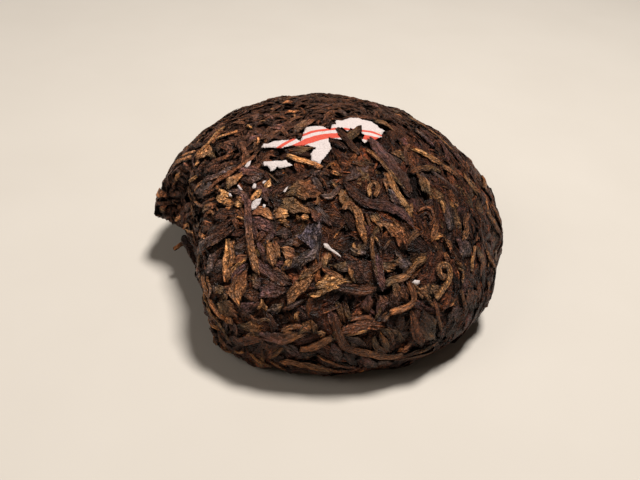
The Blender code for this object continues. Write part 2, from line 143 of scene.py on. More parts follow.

# The leaves that the photograph shows best: kind, width, colours at the start and the end, how far it stands
# up, and the way it takes, as pixels of the photograph
SHOWING_LEAVES = {
    "twig_fork": ("stem", 1.1, "gold", "tan", 0.35, [
        (226, 127.5), (218, 133), (211, 142), (203, 149.5), (195, 157),
    ]),
    "twig_fork_branch": ("stem", 0.8, "brown", "brown", 0.35, [(225, 131), (219, 136.5), (212, 144)]),
    "twig_fork_leaf": ("flake", 1.9, "tan", "olive", 0.25, [(206, 147), (210, 152), (214, 158)]),
    "twig_fork_blob": ("flake", 2.2, "tan", "olive", 0.15, [(197, 160), (202, 156), (208, 154)]),
    "twig_fork_tip": ("stem", 1, "gold", "tan", 0.3, [(196, 166), (199, 160)]),
    "bent_twig": ("stem", 0.8, "gold", "orange", 0.4, [(217, 140), (226, 137), (233, 134), (238, 130)]),
    "crown_chip": ("stem", 0.6, "orange", "tan", 0.4, [(258, 138.5), (259, 142), (257.5, 145)]),
    "crown_curl": ("stem", 0.6, "gold", "gold", 0.3, [(247, 128), (249, 125.5), (252, 130)]),
    "left_chip": ("stem", 0.8, "gold", "gold", 0.35, [(191, 181.5), (194, 178.5), (197, 176)]),
    "upper_left_a": ("strip", 1, "tan", "tan", 0.2, [(182, 158), (188, 154.5), (196, 151.5)]),
    "upper_left_b": ("strip", 1.4, "tan", "tan", 0.2, [(177, 164), (183, 160), (192, 157)]),
    "upper_left_d": ("strip", 1.3, "black", "deep", 0.15, [(190, 147), (197, 146), (204, 145)]),
    "left_edge_stem": ("stem", 1.1, "gold", "tan", 0.3, [(175, 182), (177, 177), (180, 172)]),
    "long_left_low": ("strip", 1.7, "brown", "brown", 0.3, [
        (207, 190), (219, 181), (231, 173), (243, 165), (255, 157),
    ]),
    "long_left_mid": ("strip", 1.5, "deep", "brown", 0.25, [(208, 166), (219, 160), (231, 157)]),
    "long_left_high": ("strip", 1.5, "deep", "grey", 0.2, [(203, 184), (213, 179), (224, 172), (236, 166)]),
    "left_flake": ("flake", 2.6, "olive", "tan", 0.2, [(227, 188), (233, 180), (240, 174)]),
    "left_tan_strip": ("strip", 1.1, "tan", "brown", 0.25, [(196, 186), (202, 182), (210, 179)]),
    "left_lobe_edge": ("stem", 0.8, "tan", "brown", 0.35, [
        (193, 188), (193, 193), (197, 198), (204, 201), (210, 201), (215, 198),
    ]),
    "left_lobe_leaf": ("flake", 2.6, "deep", "grey", 0.1, [(196, 192), (203, 190), (212, 187)]),
    "left_lobe_strip": ("strip", 1.4, "deep", "brown", 0.15, [(200, 196), (208, 193), (216, 189)]),
    "rim_chip": ("flake", 2, "tan", "brown", 0.3, [(159, 192), (163, 193), (167, 195)]),
    "rim_chip_low": ("flake", 1.8, "olive", "brown", 0.2, [(160, 208), (164, 209), (168, 212)]),
    "gold_flake_high": ("leaf", 1.2, "gold", "gold", 0.3, [(220, 191.5), (225, 195), (231, 199)]),
    "gold_flake_low": ("leaf", 1.5, "gold", "tan", 0.25, [(218, 197), (225, 201.5), (234, 205)]),
    "gold_flake_end": ("flake", 1.6, "gold", "olive", 0.2, [(236, 206), (240, 204), (244, 203)]),
    "orange_bit": ("flake", 1, "orange", "tan", 0.2, [(225, 209), (228, 207), (231, 207)]),
    "fork_branch": ("strip", 1.3, "grey", "purple", 0.4, [(231, 191), (239, 193), (245, 197), (248, 204)]),
    "fork_branch_tan": ("stem", 0.9, "tan", "brown", 0.35, [(237, 197), (242, 200), (246, 205)]),
    "fork_stem": ("stem", 1.8, "purple", "tan", 0.4, [
        (247, 200), (249, 212), (249, 228), (251, 241), (253, 252), (255, 262), (255, 272),
    ]),
    "pale_loop": ("fibre", 0.6, "tan", "gold", 0.3, [(234, 218.5), (240, 216.5), (245, 220)]),
    "left_stem": ("stem", 1.3, "gold", "orange", 0.4, [
        (228, 239), (228, 252), (227, 264), (226, 274), (228, 282),
    ]),
    "left_stem_twin": ("stem", 1.3, "tan", "tan", 0.35, [
        (232, 241), (233, 252), (233, 262), (231, 270), (229, 278),
    ]),
    "diagonal_grey": ("strip", 2.1, "grey", "deep", 0.3, [(203, 253), (214, 241), (224, 233), (234, 227)]),
    "diagonal_grey_high": ("strip", 2, "deep", "deep", 0.2, [(207, 243), (216, 233), (226, 224), (233, 218)]),
    "diagonal_grey_low": ("strip", 1.4, "deep", "brown", 0.1, [(197, 258), (204, 250), (210, 246)]),
    "left_low_flake": ("flake", 2.8, "grey", "deep", 0.1, [(207, 268), (213, 262), (222, 256)]),
    "left_swirl": ("stem", 0.8, "brown", "tan", 0.2, [(205, 218), (207, 212), (212, 211), (214, 216)]),
    "left_dark_flake": ("flake", 2.6, "black", "deep", 0.1, [(217, 218), (226, 214), (234, 212)]),
    "grain_gold_a": ("flake", 0.9, "gold", "orange", 0.3, [(180, 219), (183, 217), (185, 218)]),
    "grain_gold_b": ("flake", 0.9, "orange", "gold", 0.3, [(186, 222), (188, 224), (190, 226)]),
    "grain_gold_c": ("flake", 1, "gold", "tan", 0.3, [(191, 235), (194, 237), (196, 240)]),
    "grain_gold_d": ("flake", 0.9, "orange", "tan", 0.3, [(201, 234), (204, 237), (207, 239)]),
    "grain_gold_e": ("flake", 0.8, "tan", "gold", 0.3, [(205, 207), (210, 205), (214, 203)]),
    "left_olive_flake": ("flake", 1.8, "olive", "brown", 0.2, [(203, 210), (209, 207), (216, 205)]),
    "slate_flake": ("flake", 2.4, "grey", "black", 0.1, [(235, 252), (240, 250), (246, 247)]),
    "tan_flake_high": ("leaf", 1.8, "brown", "brown", 0.2, [(235, 263), (240, 259), (246, 257)]),
    "gold_strip": ("stem", 0.9, "gold", "tan", 0.35, [(245, 259), (239, 266), (234, 272), (230, 278)]),
    "purple_strip": ("strip", 1.4, "purple", "purple", 0.3, [(247, 264), (240, 271), (235, 277), (231, 283)]),
    "tapered_leaf": ("leaf", 3.2, "brown", "tan", 0.25, [(246, 270), (241, 280), (238, 291), (240, 303)]),
    "tapered_side": ("strip", 1, "olive", "brown", 0.2, [(231, 285), (231, 293), (235, 301)]),
    "notch_strip": ("strip", 1.2, "tan", "brown", 0.2, [(245, 283), (243, 292), (243, 300)]),
    "purple_leaf": ("leaf", 2.5, "purple", "deep", 0.2, [(257, 263), (266, 269), (278, 276), (292, 283)]),
    "ragged_flake_a": ("flake", 2.4, "olive", "purple", 0.1, [(250, 277), (255, 281), (263, 283)]),
    "ragged_flake_b": ("flake", 2.6, "purple", "deep", 0.15, [(262, 292), (274, 290), (288, 288)]),
    "ragged_flake_c": ("flake", 2.4, "brown", "deep", 0.1, [(248, 293), (255, 297), (262, 299)]),
    "ragged_flake_d": ("flake", 2.6, "black", "deep", 0.05, [(262, 283), (271, 281), (282, 285)]),
    "pale_wedge_a": ("stem", 0.8, "gold", "tan", 0.35, [(262, 299), (261, 304), (259, 309)]),
    "pale_wedge_b": ("flake", 1.1, "tan", "gold", 0.3, [(262, 302), (264, 307), (265, 311)]),
    "pale_worm": ("stem", 0.7, "brown", "olive", 0.35, [
        (251, 314), (253, 318), (258, 321), (264, 318), (269, 320), (272, 325),
    ]),
    "slate_strip": ("strip", 1.4, "deep", "deep", 0.25, [(263, 311), (269, 317), (273, 324), (276, 331)]),
    "olive_flake_low": ("flake", 1.9, "grey", "olive", 0.15, [(270, 312), (276, 308), (284, 305)]),
    "edge_stem": ("stem", 1.3, "tan", "orange", 0.4, [
        (203, 276), (206, 286), (210, 297), (214, 306), (219, 313), (225, 319),
    ]),
    "edge_stem_inner": ("stem", 0.8, "tan", "grey", 0.25, [(207, 276), (210, 283), (212, 291), (214, 299)]),
    "edge_rim": ("stem", 0.7, "gold", "olive", 0.35, [
        (201, 274), (204, 298), (211, 311), (219, 321), (226, 331), (230, 339),
    ]),
    "edge_flake": ("flake", 1.6, "orange", "tan", 0.3, [(222, 317), (228, 319), (233, 322)]),
    "gold_sliver": ("stem", 0.5, "gold", "gold", 0.35, [(218, 287), (219.5, 291), (219, 294)]),
    "broad_brown": ("flake", 3.6, "olive", "brown", 0.15, [(219, 305), (228, 309), (238, 314)]),
    "left_fleck_flake": ("flake", 2, "grey", "olive", 0.15, [(213, 290), (218, 288), (224, 292)]),
    "speckled_flake": ("flake", 2.2, "olive", "brown", 0.1, [(222, 298), (226, 294), (230, 289)]),
    "dark_block": ("flake", 2.6, "purple", "deep", 0.15, [(241, 307), (249, 308), (257, 306)]),
    "purple_low": ("flake", 2.2, "purple", "brown", 0.15, [(232, 322), (235, 327), (236, 333)]),
    "rough_olive": ("flake", 2.6, "olive", "tan", 0.15, [(242, 325), (252, 326), (262, 325)]),
    "rough_olive_low": ("flake", 2.2, "tan", "olive", 0.15, [(243, 337), (252, 336), (262, 334)]),
    "low_left_leaf": ("leaf", 2.4, "deep", "brown", 0.3, [(231, 336), (240, 340), (252, 339), (263, 338)]),
    "low_mid_leaf": ("leaf", 2.6, "purple", "tan", 0.35, [(260, 335), (272, 337), (286, 337), (302, 333)]),
    "low_mid_edge": ("stem", 0.8, "deep", "deep", 0.4, [(264, 341), (273, 344), (283, 343), (292, 339)]),
    "low_crest": ("strip", 1.2, "tan", "brown", 0.35, [(281, 330), (291, 326), (301, 326), (312, 331)]),
    "low_peak": ("leaf", 2, "olive", "tan", 0.35, [(301, 331), (306, 324), (311, 320)]),
    "low_peak_side": ("strip", 1.2, "tan", "olive", 0.35, [(311, 320), (313, 326), (316, 333)]),
    "gold_tooth": ("flake", 1.1, "gold", "tan", 0.35, [(297, 319), (298, 315), (301, 313)]),
    "slate_wedge": ("leaf", 2.2, "grey", "purple", 0.25, [(285, 344), (292, 348), (300, 356)]),
    "slate_wedge_right": ("leaf", 1.8, "grey", "deep", 0.2, [(296, 352), (304, 355), (312, 354)]),
    "gold_hook": ("stem", 0.9, "gold", "tan", 0.4, [(319, 332), (323, 331), (325, 334), (321, 337)]),
    "orange_stem": ("stem", 1.9, "orange", "tan", 0.4, [(302, 350), (312, 348), (323, 342), (334, 337)]),
    "hanging_a": ("stem", 0.6, "gold", "olive", 0.3, [(250, 352), (256, 357), (263, 361), (271, 365)]),
    "hanging_b": ("stem", 0.6, "olive", "gold", 0.3, [(232, 350), (240, 352), (247, 351)]),
    "hanging_c": ("stem", 0.7, "gold", "tan", 0.3, [(270, 360), (277, 364), (284, 369)]),
    "hanging_d": ("stem", 0.7, "tan", "olive", 0.3, [(219, 344), (225, 349), (233, 351)]),
    "hanging_e": ("stem", 0.7, "tan", "grey", 0.3, [(220, 334), (224, 341), (230, 347)]),
    "hanging_f": ("strip", 1, "brown", "grey", 0.2, [(226, 334), (230, 341), (235, 345)]),
    "bottom_leaf": ("leaf", 1.9, "tan", "olive", 0.35, [(281, 361), (295, 361), (311, 364), (330, 369)]),
    "bottom_line_high": ("stem", 0.8, "tan", "brown", 0.35, [(318, 355), (330, 361), (343, 365), (356, 366)]),
    "bottom_line_low": ("stem", 0.8, "tan", "brown", 0.35, [(318, 364), (332, 369), (347, 370), (358, 367)]),
    "slate_flake_mid": ("flake", 4.2, "grey", "grey", 0.25, [(293, 268), (298, 261), (305, 252)]),
    "gold_brown_high": ("leaf", 2.8, "tan", "brown", 0.25, [(282, 251), (288, 252), (296, 255)]),
    "gold_brown_low": ("leaf", 1.6, "gold", "tan", 0.35, [(290, 256), (287, 263), (284, 270)]),
    "tan_pair_left": ("leaf", 2, "tan", "tan", 0.25, [(267, 241), (271, 252), (275, 265)]),
    "tan_pair_right": ("leaf", 1.6, "brown", "tan", 0.3, [(274, 240), (277, 247), (280, 254)]),
    "fork_side": ("strip", 1.4, "purple", "deep", 0.2, [(258, 240), (262, 252), (266, 263)]),
    "diagonal_leaf": ("leaf", 2.9, "tan", "tan", 0.3, [(286, 298), (296, 289), (306, 280), (320, 265)]),
    "diagonal_edge": ("strip", 1, "olive", "brown", 0.3, [(300, 281), (309, 274), (318, 265), (325, 259)]),
    "diagonal_low": ("strip", 1.2, "brown", "grey", 0.2, [(282, 309), (292, 304), (301, 299)]),
    "golden_leaf": ("leaf", 2.2, "gold", "gold", 0.35, [(314, 285), (325, 283), (336, 282), (347, 281)]),
    "golden_top": ("stem", 1.1, "brown", "tan", 0.4, [(322, 267), (326, 271), (334, 274), (341, 278)]),
    "golden_low": ("leaf", 1.5, "gold", "gold", 0.35, [(318, 290), (327, 289), (336, 286), (345, 282)]),
    "golden_tail": ("strip", 1.1, "gold", "gold", 0.3, [(308, 294), (315, 296), (322, 292), (328, 287)]),
    "golden_arm": ("stem", 1.2, "gold", "gold", 0.35, [(320, 287), (325, 279), (330, 275)]),
    "tan_knuckle": ("leaf", 1.9, "tan", "olive", 0.25, [(328, 252), (326, 260), (325, 268)]),
    "grey_lying": ("strip", 2, "deep", "brown", 0.3, [(337, 287), (350, 289), (363, 290), (377, 288)]),
    "mauve_flake": ("leaf", 4.8, "mauve", "mauve", 0.3, [(312, 224), (311, 236), (313, 252)]),
    "red_flake": ("flake", 2.4, "chestnut", "purple", 0.3, [(314, 209), (316, 215), (319, 223)]),
    "slate_edge": ("strip", 1.7, "grey", "black", 0.3, [(316, 207), (322, 216), (330, 227)]),
    "chestnut_leaf": ("leaf", 2.3, "chestnut", "tan", 0.3, [(252, 214), (262, 212), (274, 217)]),
    "purple_leaf_left": ("leaf", 2.6, "purple", "purple", 0.25, [(252, 221), (262, 225), (275, 229)]),
    "purple_fold_a": ("strip", 1.5, "purple", "deep", 0.25, [(253, 224), (255, 232), (257, 241)]),
    "purple_fold_b": ("strip", 1.5, "purple", "brown", 0.2, [(266, 228), (263, 235), (258, 242)]),
    "purple_fold_c": ("strip", 1.3, "purple", "grey", 0.2, [(272, 230), (270, 237), (265, 244)]),
    "slate_mid_left": ("flake", 2.6, "grey", "black", 0.15, [(276, 236), (283, 233), (290, 232)]),
    "brown_flake_mid": ("flake", 2.6, "grey", "brown", 0.2, [(290, 241), (296, 240), (303, 244)]),
    "dark_under_veined": ("flake", 3, "black", "black", 0.2, [(271, 202), (276, 203), (284, 204)]),
    "olive_under_veined": ("flake", 2.6, "tan", "gold", 0.25, [(275, 215), (281, 212), (289, 213)]),
    "gold_under_veined": ("flake", 1.5, "gold", "tan", 0.3, [(279, 223), (284, 223), (289, 224)]),
    "gold_bead": ("flake", 1.3, "tan", "gold", 0.35, [(301, 218), (305, 217), (309, 219)]),
    "pale_bead": ("flake", 0.7, "gold", "tan", 0.35, [(297, 217), (300, 219)]),
    "veined_flake": ("flake", 4.6, "olive", "brown", 0.35, [(287, 194), (297, 190), (307, 189), (318, 188)]),
    "veined_low": ("flake", 2.6, "olive", "tan", 0.25, [(282, 201), (290, 205), (299, 209), (312, 209)]),
    "gold_sliver_mid": ("stem", 0.8, "tan", "tan", 0.4, [(318, 195), (319, 200), (316, 206)]),
    "dark_diagonal": ("strip", 2.5, "deep", "deep", 0.3, [(270, 195), (283, 187), (297, 180), (312, 173)]),
    "fleck_leaf": ("flake", 2.4, "purple", "deep", 0.2, [(259, 188), (264, 192), (268, 199)]),
    "gold_tongue": ("leaf", 1.6, "tan", "gold", 0.35, [(251, 203), (256, 196), (261, 191)]),
    "gold_crumb": ("flake", 1.3, "gold", "gold", 0.35, [(265, 188), (268, 185), (271, 182)]),
    "crown_slate": ("flake", 2.8, "deep", "grey", 0.2, [(244, 182), (251, 178), (260, 176)]),
    "crown_purple": ("leaf", 2.4, "purple", "deep", 0.2, [(240, 173), (251, 172), (264, 175)]),
    "orange_bead": ("flake", 1.2, "orange", "gold", 0.4, [(330, 173), (335, 174), (340, 176)]),
    "gold_bead_right": ("flake", 1.3, "gold", "tan", 0.35, [(331, 184), (334, 184), (337, 186)]),
    "tan_needle": ("stem", 0.7, "deep", "brown", 0.35, [(316, 173), (321, 180), (326, 189)]),
    "grey_needle": ("strip", 1.4, "grey", "deep", 0.3, [(313, 178), (318, 187), (323, 196)]),
    "bent_dark": ("strip", 1.3, "grey", "deep", 0.35, [(321, 198), (330, 198), (335, 193), (341, 186)]),
    "gold_stem": ("stem", 1.4, "gold", "orange", 0.4, [(287, 157), (298, 160), (310, 164), (322, 168)]),
    "ticket_leaf": ("strip", 1.7, "black", "deep", 0.55, [(337, 129), (343, 136), (351, 146), (359, 156)]),
    "ticket_chip": ("strip", 1.5, "black", "deep", 0.45, [(329, 140), (337, 143), (346, 150)]),
    "ticket_olive": ("leaf", 2.2, "olive", "deep", 0.5, [(347, 141), (353, 136), (361, 130)]),
    "ticket_low_dark": ("strip", 2.2, "deep", "olive", 0.45, [(285, 152), (298, 151), (312, 151)]),
    "dark_arc": ("strip", 2.5, "deep", "purple", 0.4, [
        (342, 182), (352, 192), (363, 201), (376, 206), (390, 208), (402, 214), (413, 224),
    ]),
    "tan_stem": ("stem", 1.6, "tan", "gold", 0.45, [
        (385, 174), (389, 181), (394, 189), (399, 197), (406, 208),
    ]),
    "tan_stem_fork": ("stem", 1.1, "gold", "gold", 0.4, [(407, 208), (408, 213), (410, 218)]),
    "tan_stem_side": ("flake", 1, "tan", "gold", 0.35, [(411, 203), (412, 208), (411, 213)]),
    "olive_line": ("strip", 1.2, "tan", "olive", 0.4, [
        (366, 151), (379, 162), (388, 171), (397, 181), (406, 191),
    ]),
    "long_dark_leaf": ("strip", 3, "purple", "deep", 0.4, [
        (368, 140), (380, 152), (391, 165), (402, 179), (411, 194),
    ]),
    "gold_curl_left": ("stem", 1, "tan", "tan", 0.4, [(370, 182), (376, 183), (378, 189), (374, 197)]),
    "gold_curl_right": ("stem", 0.9, "tan", "gold", 0.35, [(372, 184), (368, 190), (370, 197)]),
    "brown_upright": ("leaf", 1.7, "tan", "tan", 0.4, [
        (353, 204), (357, 212), (358, 222), (361, 232), (364, 244),
    ]),
    "brown_upright_curl": ("stem", 1, "tan", "brown", 0.35, [(343, 210), (346, 205), (351, 203), (356, 207)]),
    "brown_oval": ("leaf", 3.4, "tan", "chestnut", 0.3, [(388, 223), (396, 229), (401, 236), (404, 245)]),
    "pale_needle": ("stem", 0.6, "brown", "tan", 0.4, [(365, 214), (368, 220), (370, 227)]),
    "olive_oval": ("flake", 2, "olive", "tan", 0.25, [(372, 214), (376, 220), (378, 227)]),
    "pale_needle_low": ("stem", 0.6, "gold", "grey", 0.4, [(373, 236), (377, 242), (380, 248)]),
    "grey_needle_low": ("stem", 0.6, "grey", "tan", 0.4, [(383, 250), (387, 245), (391, 240)]),
    "pale_chip": ("stem", 0.7, "gold", "grey", 0.4, [(353, 243), (355, 247), (357, 251)]),
    "tan_oval": ("leaf", 3, "tan", "olive", 0.3, [(418, 176), (423, 184), (427, 193)]),
    "olive_arc": ("strip", 1.5, "brown", "olive", 0.3, [(410, 174), (419, 169), (431, 168), (440, 173)]),
    "swirl_outer": ("stem", 0.8, "brown", "brown", 0.3, [
        (417, 213), (424, 208), (431, 211), (434, 219), (430, 225),
    ]),
    "swirl_mid": ("stem", 0.7, "deep", "brown", 0.3, [(420, 217), (424, 213), (430, 215), (430, 221)]),
    "swirl_inner": ("stem", 0.6, "brown", "chestnut", 0.3, [(423, 220), (426, 216), (428, 219)]),
    "pale_pair_left": ("leaf", 1.4, "grey", "tan", 0.3, [(386, 174), (387, 183), (387, 191)]),
    "grey_flake_right": ("flake", 2.8, "grey", "purple", 0.15, [(389, 193), (394, 197), (400, 201)]),
    "right_gold": ("leaf", 1.8, "gold", "tan", 0.35, [(412, 150), (421, 154), (431, 160), (442, 166)]),
    "right_gold_tail": ("strip", 1.6, "tan", "brown", 0.25, [(441, 165), (450, 171), (459, 180)]),
    "upper_olive": ("leaf", 2.4, "olive", "tan", 0.3, [(373, 122), (382, 124), (392, 129)]),
    "upper_red": ("strip", 1.2, "deep", "deep", 0.3, [(382, 118), (389, 120), (396, 124)]),
    "upper_tan": ("leaf", 2, "olive", "tan", 0.25, [(408, 117), (416, 123), (426, 129)]),
    "upper_tan_right": ("flake", 2.4, "tan", "olive", 0.2, [(392, 151), (397, 154), (403, 157)]),
    "upper_hook": ("stem", 0.9, "brown", "deep", 0.3, [(410, 144), (405, 150), (404, 158), (407, 166)]),
    "right_line": ("stem", 0.7, "tan", "tan", 0.4, [(429, 130), (438, 138), (447, 147), (456, 155)]),
    "upper_grey": ("strip", 1.8, "grey", "purple", 0.2, [(414, 130), (424, 138), (434, 147)]),
    "upright_tan": ("stem", 0.9, "tan", "olive", 0.35, [(370, 238), (373, 252), (375, 266), (377, 282)]),
    "upright_purple": ("strip", 1.8, "purple", "purple", 0.35, [
        (376, 254), (379, 266), (381, 278), (382, 290),
    ]),
    "crossing_stem": ("stem", 1.6, "olive", "tan", 0.45, [(384, 286), (390, 281), (400, 278), (409, 274)]),
    "crossing_stem_end": ("stem", 1.3, "tan", "gold", 0.45, [
        (406, 276), (411, 270), (414, 263), (419, 260), (425, 259),
    ]),
    "hooked_stem": ("stem", 1.5, "brown", "orange", 0.5, [
        (408, 281), (411, 289), (413, 299), (409, 306), (400, 310), (388, 312),
    ]),
    "under_hook_a": ("leaf", 2, "olive", "brown", 0.2, [(391, 282), (397, 291), (404, 300)]),
    "under_hook_b": ("strip", 1.3, "deep", "brown", 0.25, [(401, 281), (405, 290), (408, 300)]),
    "lower_stem": ("strip", 2.2, "chestnut", "brown", 0.4, [(408, 312), (412, 322), (416, 332), (421, 343)]),
    "thin_line": ("stem", 0.6, "tan", "tan", 0.4, [(410, 282), (417, 288), (425, 296), (433, 305)]),
    "chestnut_tail": ("stem", 0.9, "chestnut", "tan", 0.35, [(431, 300), (436, 308), (438, 318), (442, 330)]),
    "curled_stem": ("stem", 1.5, "tan", "gold", 0.5, [
        (446, 278), (440, 276), (437, 270), (440, 265), (446, 266), (450, 272), (449, 280), (443, 286),
        (439, 293), (434, 299),
    ]),
    "tan_block": ("flake", 2.8, "tan", "olive", 0.2, [(418, 288), (424, 290), (431, 296)]),
    "tan_block_right": ("flake", 2, "olive", "tan", 0.2, [(432, 284), (435, 289), (436, 294)]),
    "olive_disc": ("flake", 3.2, "olive", "tan", 0.25, [(384, 262), (390, 264), (397, 266)]),
    "grey_disc": ("flake", 2.6, "grey", "grey", 0.15, [(402, 256), (405, 263), (406, 272)]),
    "grey_left_of_upright": ("flake", 3.6, "deep", "deep", 0.2, [(353, 262), (361, 271), (369, 283)]),
    "tan_left_of_upright": ("strip", 1, "tan", "olive", 0.3, [(351, 266), (352, 274), (356, 282)]),
    "olive_disc_left": ("flake", 2.4, "olive", "grey", 0.15, [(338, 263), (345, 266), (351, 271)]),
    "slate_square": ("flake", 2.6, "olive", "grey", 0.25, [(356, 247), (361, 250), (366, 252)]),
    "tan_needle_front": ("stem", 0.8, "brown", "deep", 0.35, [(321, 313), (329, 309), (338, 305)]),
    "front_strip_a": ("strip", 1.1, "olive", "brown", 0.25, [(337, 301), (340, 311), (343, 322)]),
    "front_strip_b": ("strip", 1.1, "deep", "olive", 0.2, [(344, 302), (348, 311), (352, 320)]),
    "front_orange": ("flake", 1.5, "chestnut", "chestnut", 0.3, [(352, 316), (357, 314), (362, 312)]),
    "front_purple": ("leaf", 2.4, "purple", "brown", 0.25, [(368, 296), (368, 304), (368, 313)]),
    "front_purple_right": ("leaf", 3, "deep", "deep", 0.25, [(391, 290), (394, 298), (397, 306)]),
    "front_brown_flake": ("flake", 2.4, "brown", "purple", 0.15, [(380, 295), (382, 304), (383, 312)]),
    "front_crest": ("stem", 0.9, "brown", "brown", 0.35, [(352, 320), (359, 317), (367, 316), (372, 320)]),
    "front_gold_edge": ("stem", 0.8, "gold", "olive", 0.35, [(380, 308), (377, 314), (376, 319)]),
    "front_grey_tip": ("leaf", 1.6, "grey", "tan", 0.3, [(379, 320), (384, 318), (389, 314)]),
    "arched_stem": ("stem", 2, "brown", "tan", 0.45, [
        (333, 312), (335, 325), (340, 338), (347, 347), (360, 351), (376, 354), (392, 356), (403, 352),
    ]),
    "arch_left": ("leaf", 2.2, "purple", "brown", 0.3, [(330, 310), (333, 318), (336, 327)]),
    "red_leaf": ("leaf", 2.4, "chestnut", "chestnut", 0.35, [(341, 330), (353, 326), (366, 324), (382, 325)]),
    "red_leaf_edge": ("stem", 0.8, "tan", "gold", 0.4, [(344, 336), (354, 332), (364, 330)]),
    "oval_slate": ("leaf", 2.4, "grey", "deep", 0.25, [(346, 338), (353, 341), (362, 346)]),
    "whorl_a": ("strip", 1.4, "olive", "brown", 0.3, [(372, 337), (378, 346), (389, 351)]),
    "whorl_b": ("strip", 1.4, "tan", "olive", 0.35, [(379, 331), (383, 341), (391, 348)]),
    "whorl_c": ("strip", 1.4, "olive", "brown", 0.35, [(384, 328), (391, 334), (394, 345)]),
    "whorl_d": ("strip", 1.2, "deep", "olive", 0.3, [(388, 325), (396, 331), (399, 341)]),
    "gold_pocket": ("flake", 1.4, "brown", "olive", 0.3, [(398, 336), (400, 339), (402, 342)]),
    "orange_flake": ("flake", 2.6, "orange", "orange", 0.35, [(397, 352), (403, 349), (410, 346)]),
    "pointed_leaf": ("leaf", 4.2, "deep", "olive", 0.3, [(420, 318), (426, 326), (433, 335)]),
    "rim_strip_a": ("strip", 1.2, "brown", "olive", 0.25, [(394, 359), (407, 355), (420, 350), (433, 344)]),
    "rim_chip_right": ("flake", 1.3, "tan", "grey", 0.3, [(430, 347), (435, 343), (440, 339)]),
    "low_purple": ("flake", 2.6, "purple", "grey", 0.25, [(361, 357), (368, 360), (376, 365)]),
    "low_olive": ("flake", 2.6, "deep", "black", 0.25, [(342, 354), (349, 358), (356, 361)]),
    "low_grey_strip": ("strip", 2.2, "purple", "grey", 0.3, [(331, 342), (336, 350), (341, 359)]),
    "low_mauve": ("flake", 1.8, "grey", "brown", 0.2, [(378, 361), (385, 362), (391, 364)]),
    "right_chip": ("stem", 1.2, "orange", "tan", 0.45, [(481, 176), (484, 182), (483, 189)]),
    "right_tan": ("leaf", 1.6, "brown", "tan", 0.4, [
        (468, 213), (463, 219), (464, 226), (465, 232), (461, 239),
    ]),
    "right_striped": ("strip", 2.2, "tan", "olive", 0.3, [(462, 174), (469, 184), (478, 195)]),
    "right_striped_low": ("strip", 1.2, "tan", "brown", 0.3, [(471, 187), (477, 192), (481, 198)]),
    "right_edge_a": ("strip", 1.6, "tan", "brown", 0.35, [(485, 211), (491, 221), (500, 234)]),
    "right_edge_b": ("strip", 1.6, "brown", "tan", 0.3, [(489, 203), (495, 213), (500, 226)]),
    "right_column_tan": ("strip", 1.2, "gold", "tan", 0.3, [(440, 200), (443, 208), (445, 217)]),
    "right_column_brown": ("strip", 1.5, "brown", "orange", 0.3, [(437, 220), (434, 230), (430, 242)]),
    "right_column_gold": ("leaf", 1.4, "gold", "orange", 0.4, [(434, 238), (438, 235), (442, 239)]),
    "right_column_grey": ("strip", 2.6, "deep", "grey", 0.2, [(446, 196), (448, 212), (450, 230)]),
    "right_purple": ("flake", 3.8, "purple", "grey", 0.2, [(456, 240), (462, 247), (466, 256)]),
    "right_tan_low": ("strip", 1.5, "tan", "chestnut", 0.3, [(443, 240), (448, 245), (451, 252)]),
    "right_orange_bit": ("flake", 1.3, "orange", "chestnut", 0.3, [(444, 253), (446, 257), (447, 262)]),
    "right_stick": ("stem", 1, "tan", "gold", 0.45, [(474, 246), (472, 256), (470, 263), (471, 271)]),
    "right_vertical_a": ("stem", 1.1, "tan", "tan", 0.4, [(493, 250), (496, 260)]),
    "right_vertical_b": ("strip", 1.2, "tan", "brown", 0.3, [(486, 250), (489, 260), (494, 270)]),
    "right_sheet": ("leaf", 3.4, "olive", "brown", 0.2, [(478, 248), (480, 258), (479, 270)]),
    "right_gold_hook": ("stem", 0.8, "orange", "gold", 0.45, [(447, 305), (452, 304), (455, 299)]),
    "right_low_stem": ("stem", 0.9, "tan", "brown", 0.35, [(460, 289), (462, 298), (465, 309)]),
    "right_low_edge": ("stem", 0.9, "tan", "brown", 0.35, [(488, 281), (488, 289), (486, 297)]),
    "right_twigs": ("stem", 0.7, "tan", "olive", 0.35, [(455, 262), (459, 265), (464, 269)]),
    "right_bow": ("stem", 0.8, "olive", "tan", 0.35, [(458, 267), (463, 273), (462, 283)]),
    "right_low_sheet": ("flake", 3.6, "brown", "deep", 0.15, [(468, 290), (472, 300), (472, 310)]),
    "right_low_grey": ("flake", 2.8, "grey", "purple", 0.15, [(449, 318), (453, 313), (460, 310)]),
    "right_back_strip": ("strip", 2, "purple", "brown", 0.25, [(452, 152), (461, 163), (468, 172)]),
    "right_dots": ("flake", 1.6, "brown", "tan", 0.25, [(453, 196), (455, 202), (454, 208)]),
    "back_patch_a": ("flake", 1.8, "orange", "chestnut", 0.15, [(283, 104), (287, 103), (292, 103)]),
    "back_patch_b": ("flake", 1.5, "chestnut", "orange", 0.15, [(284, 113), (291, 112), (298, 112)]),
    "back_patch_c": ("flake", 1.5, "orange", "tan", 0.15, [(271, 109), (275, 108)]),
}
# Leaves that stick out of the break: both ends, width, kind and colours
LOOSE_STEMS = {
    "bite_stem": ((-31.5, -7.6, 10.5), (-35.9, -10.2, 8.3), 1.4, "stem", "dark", "orange"),
    "bite_leaf": ((-33.9, -7.8, 10.5), (-28.6, -19.6, 12.5), 1.9, "strip", "grey", "dark"),
}

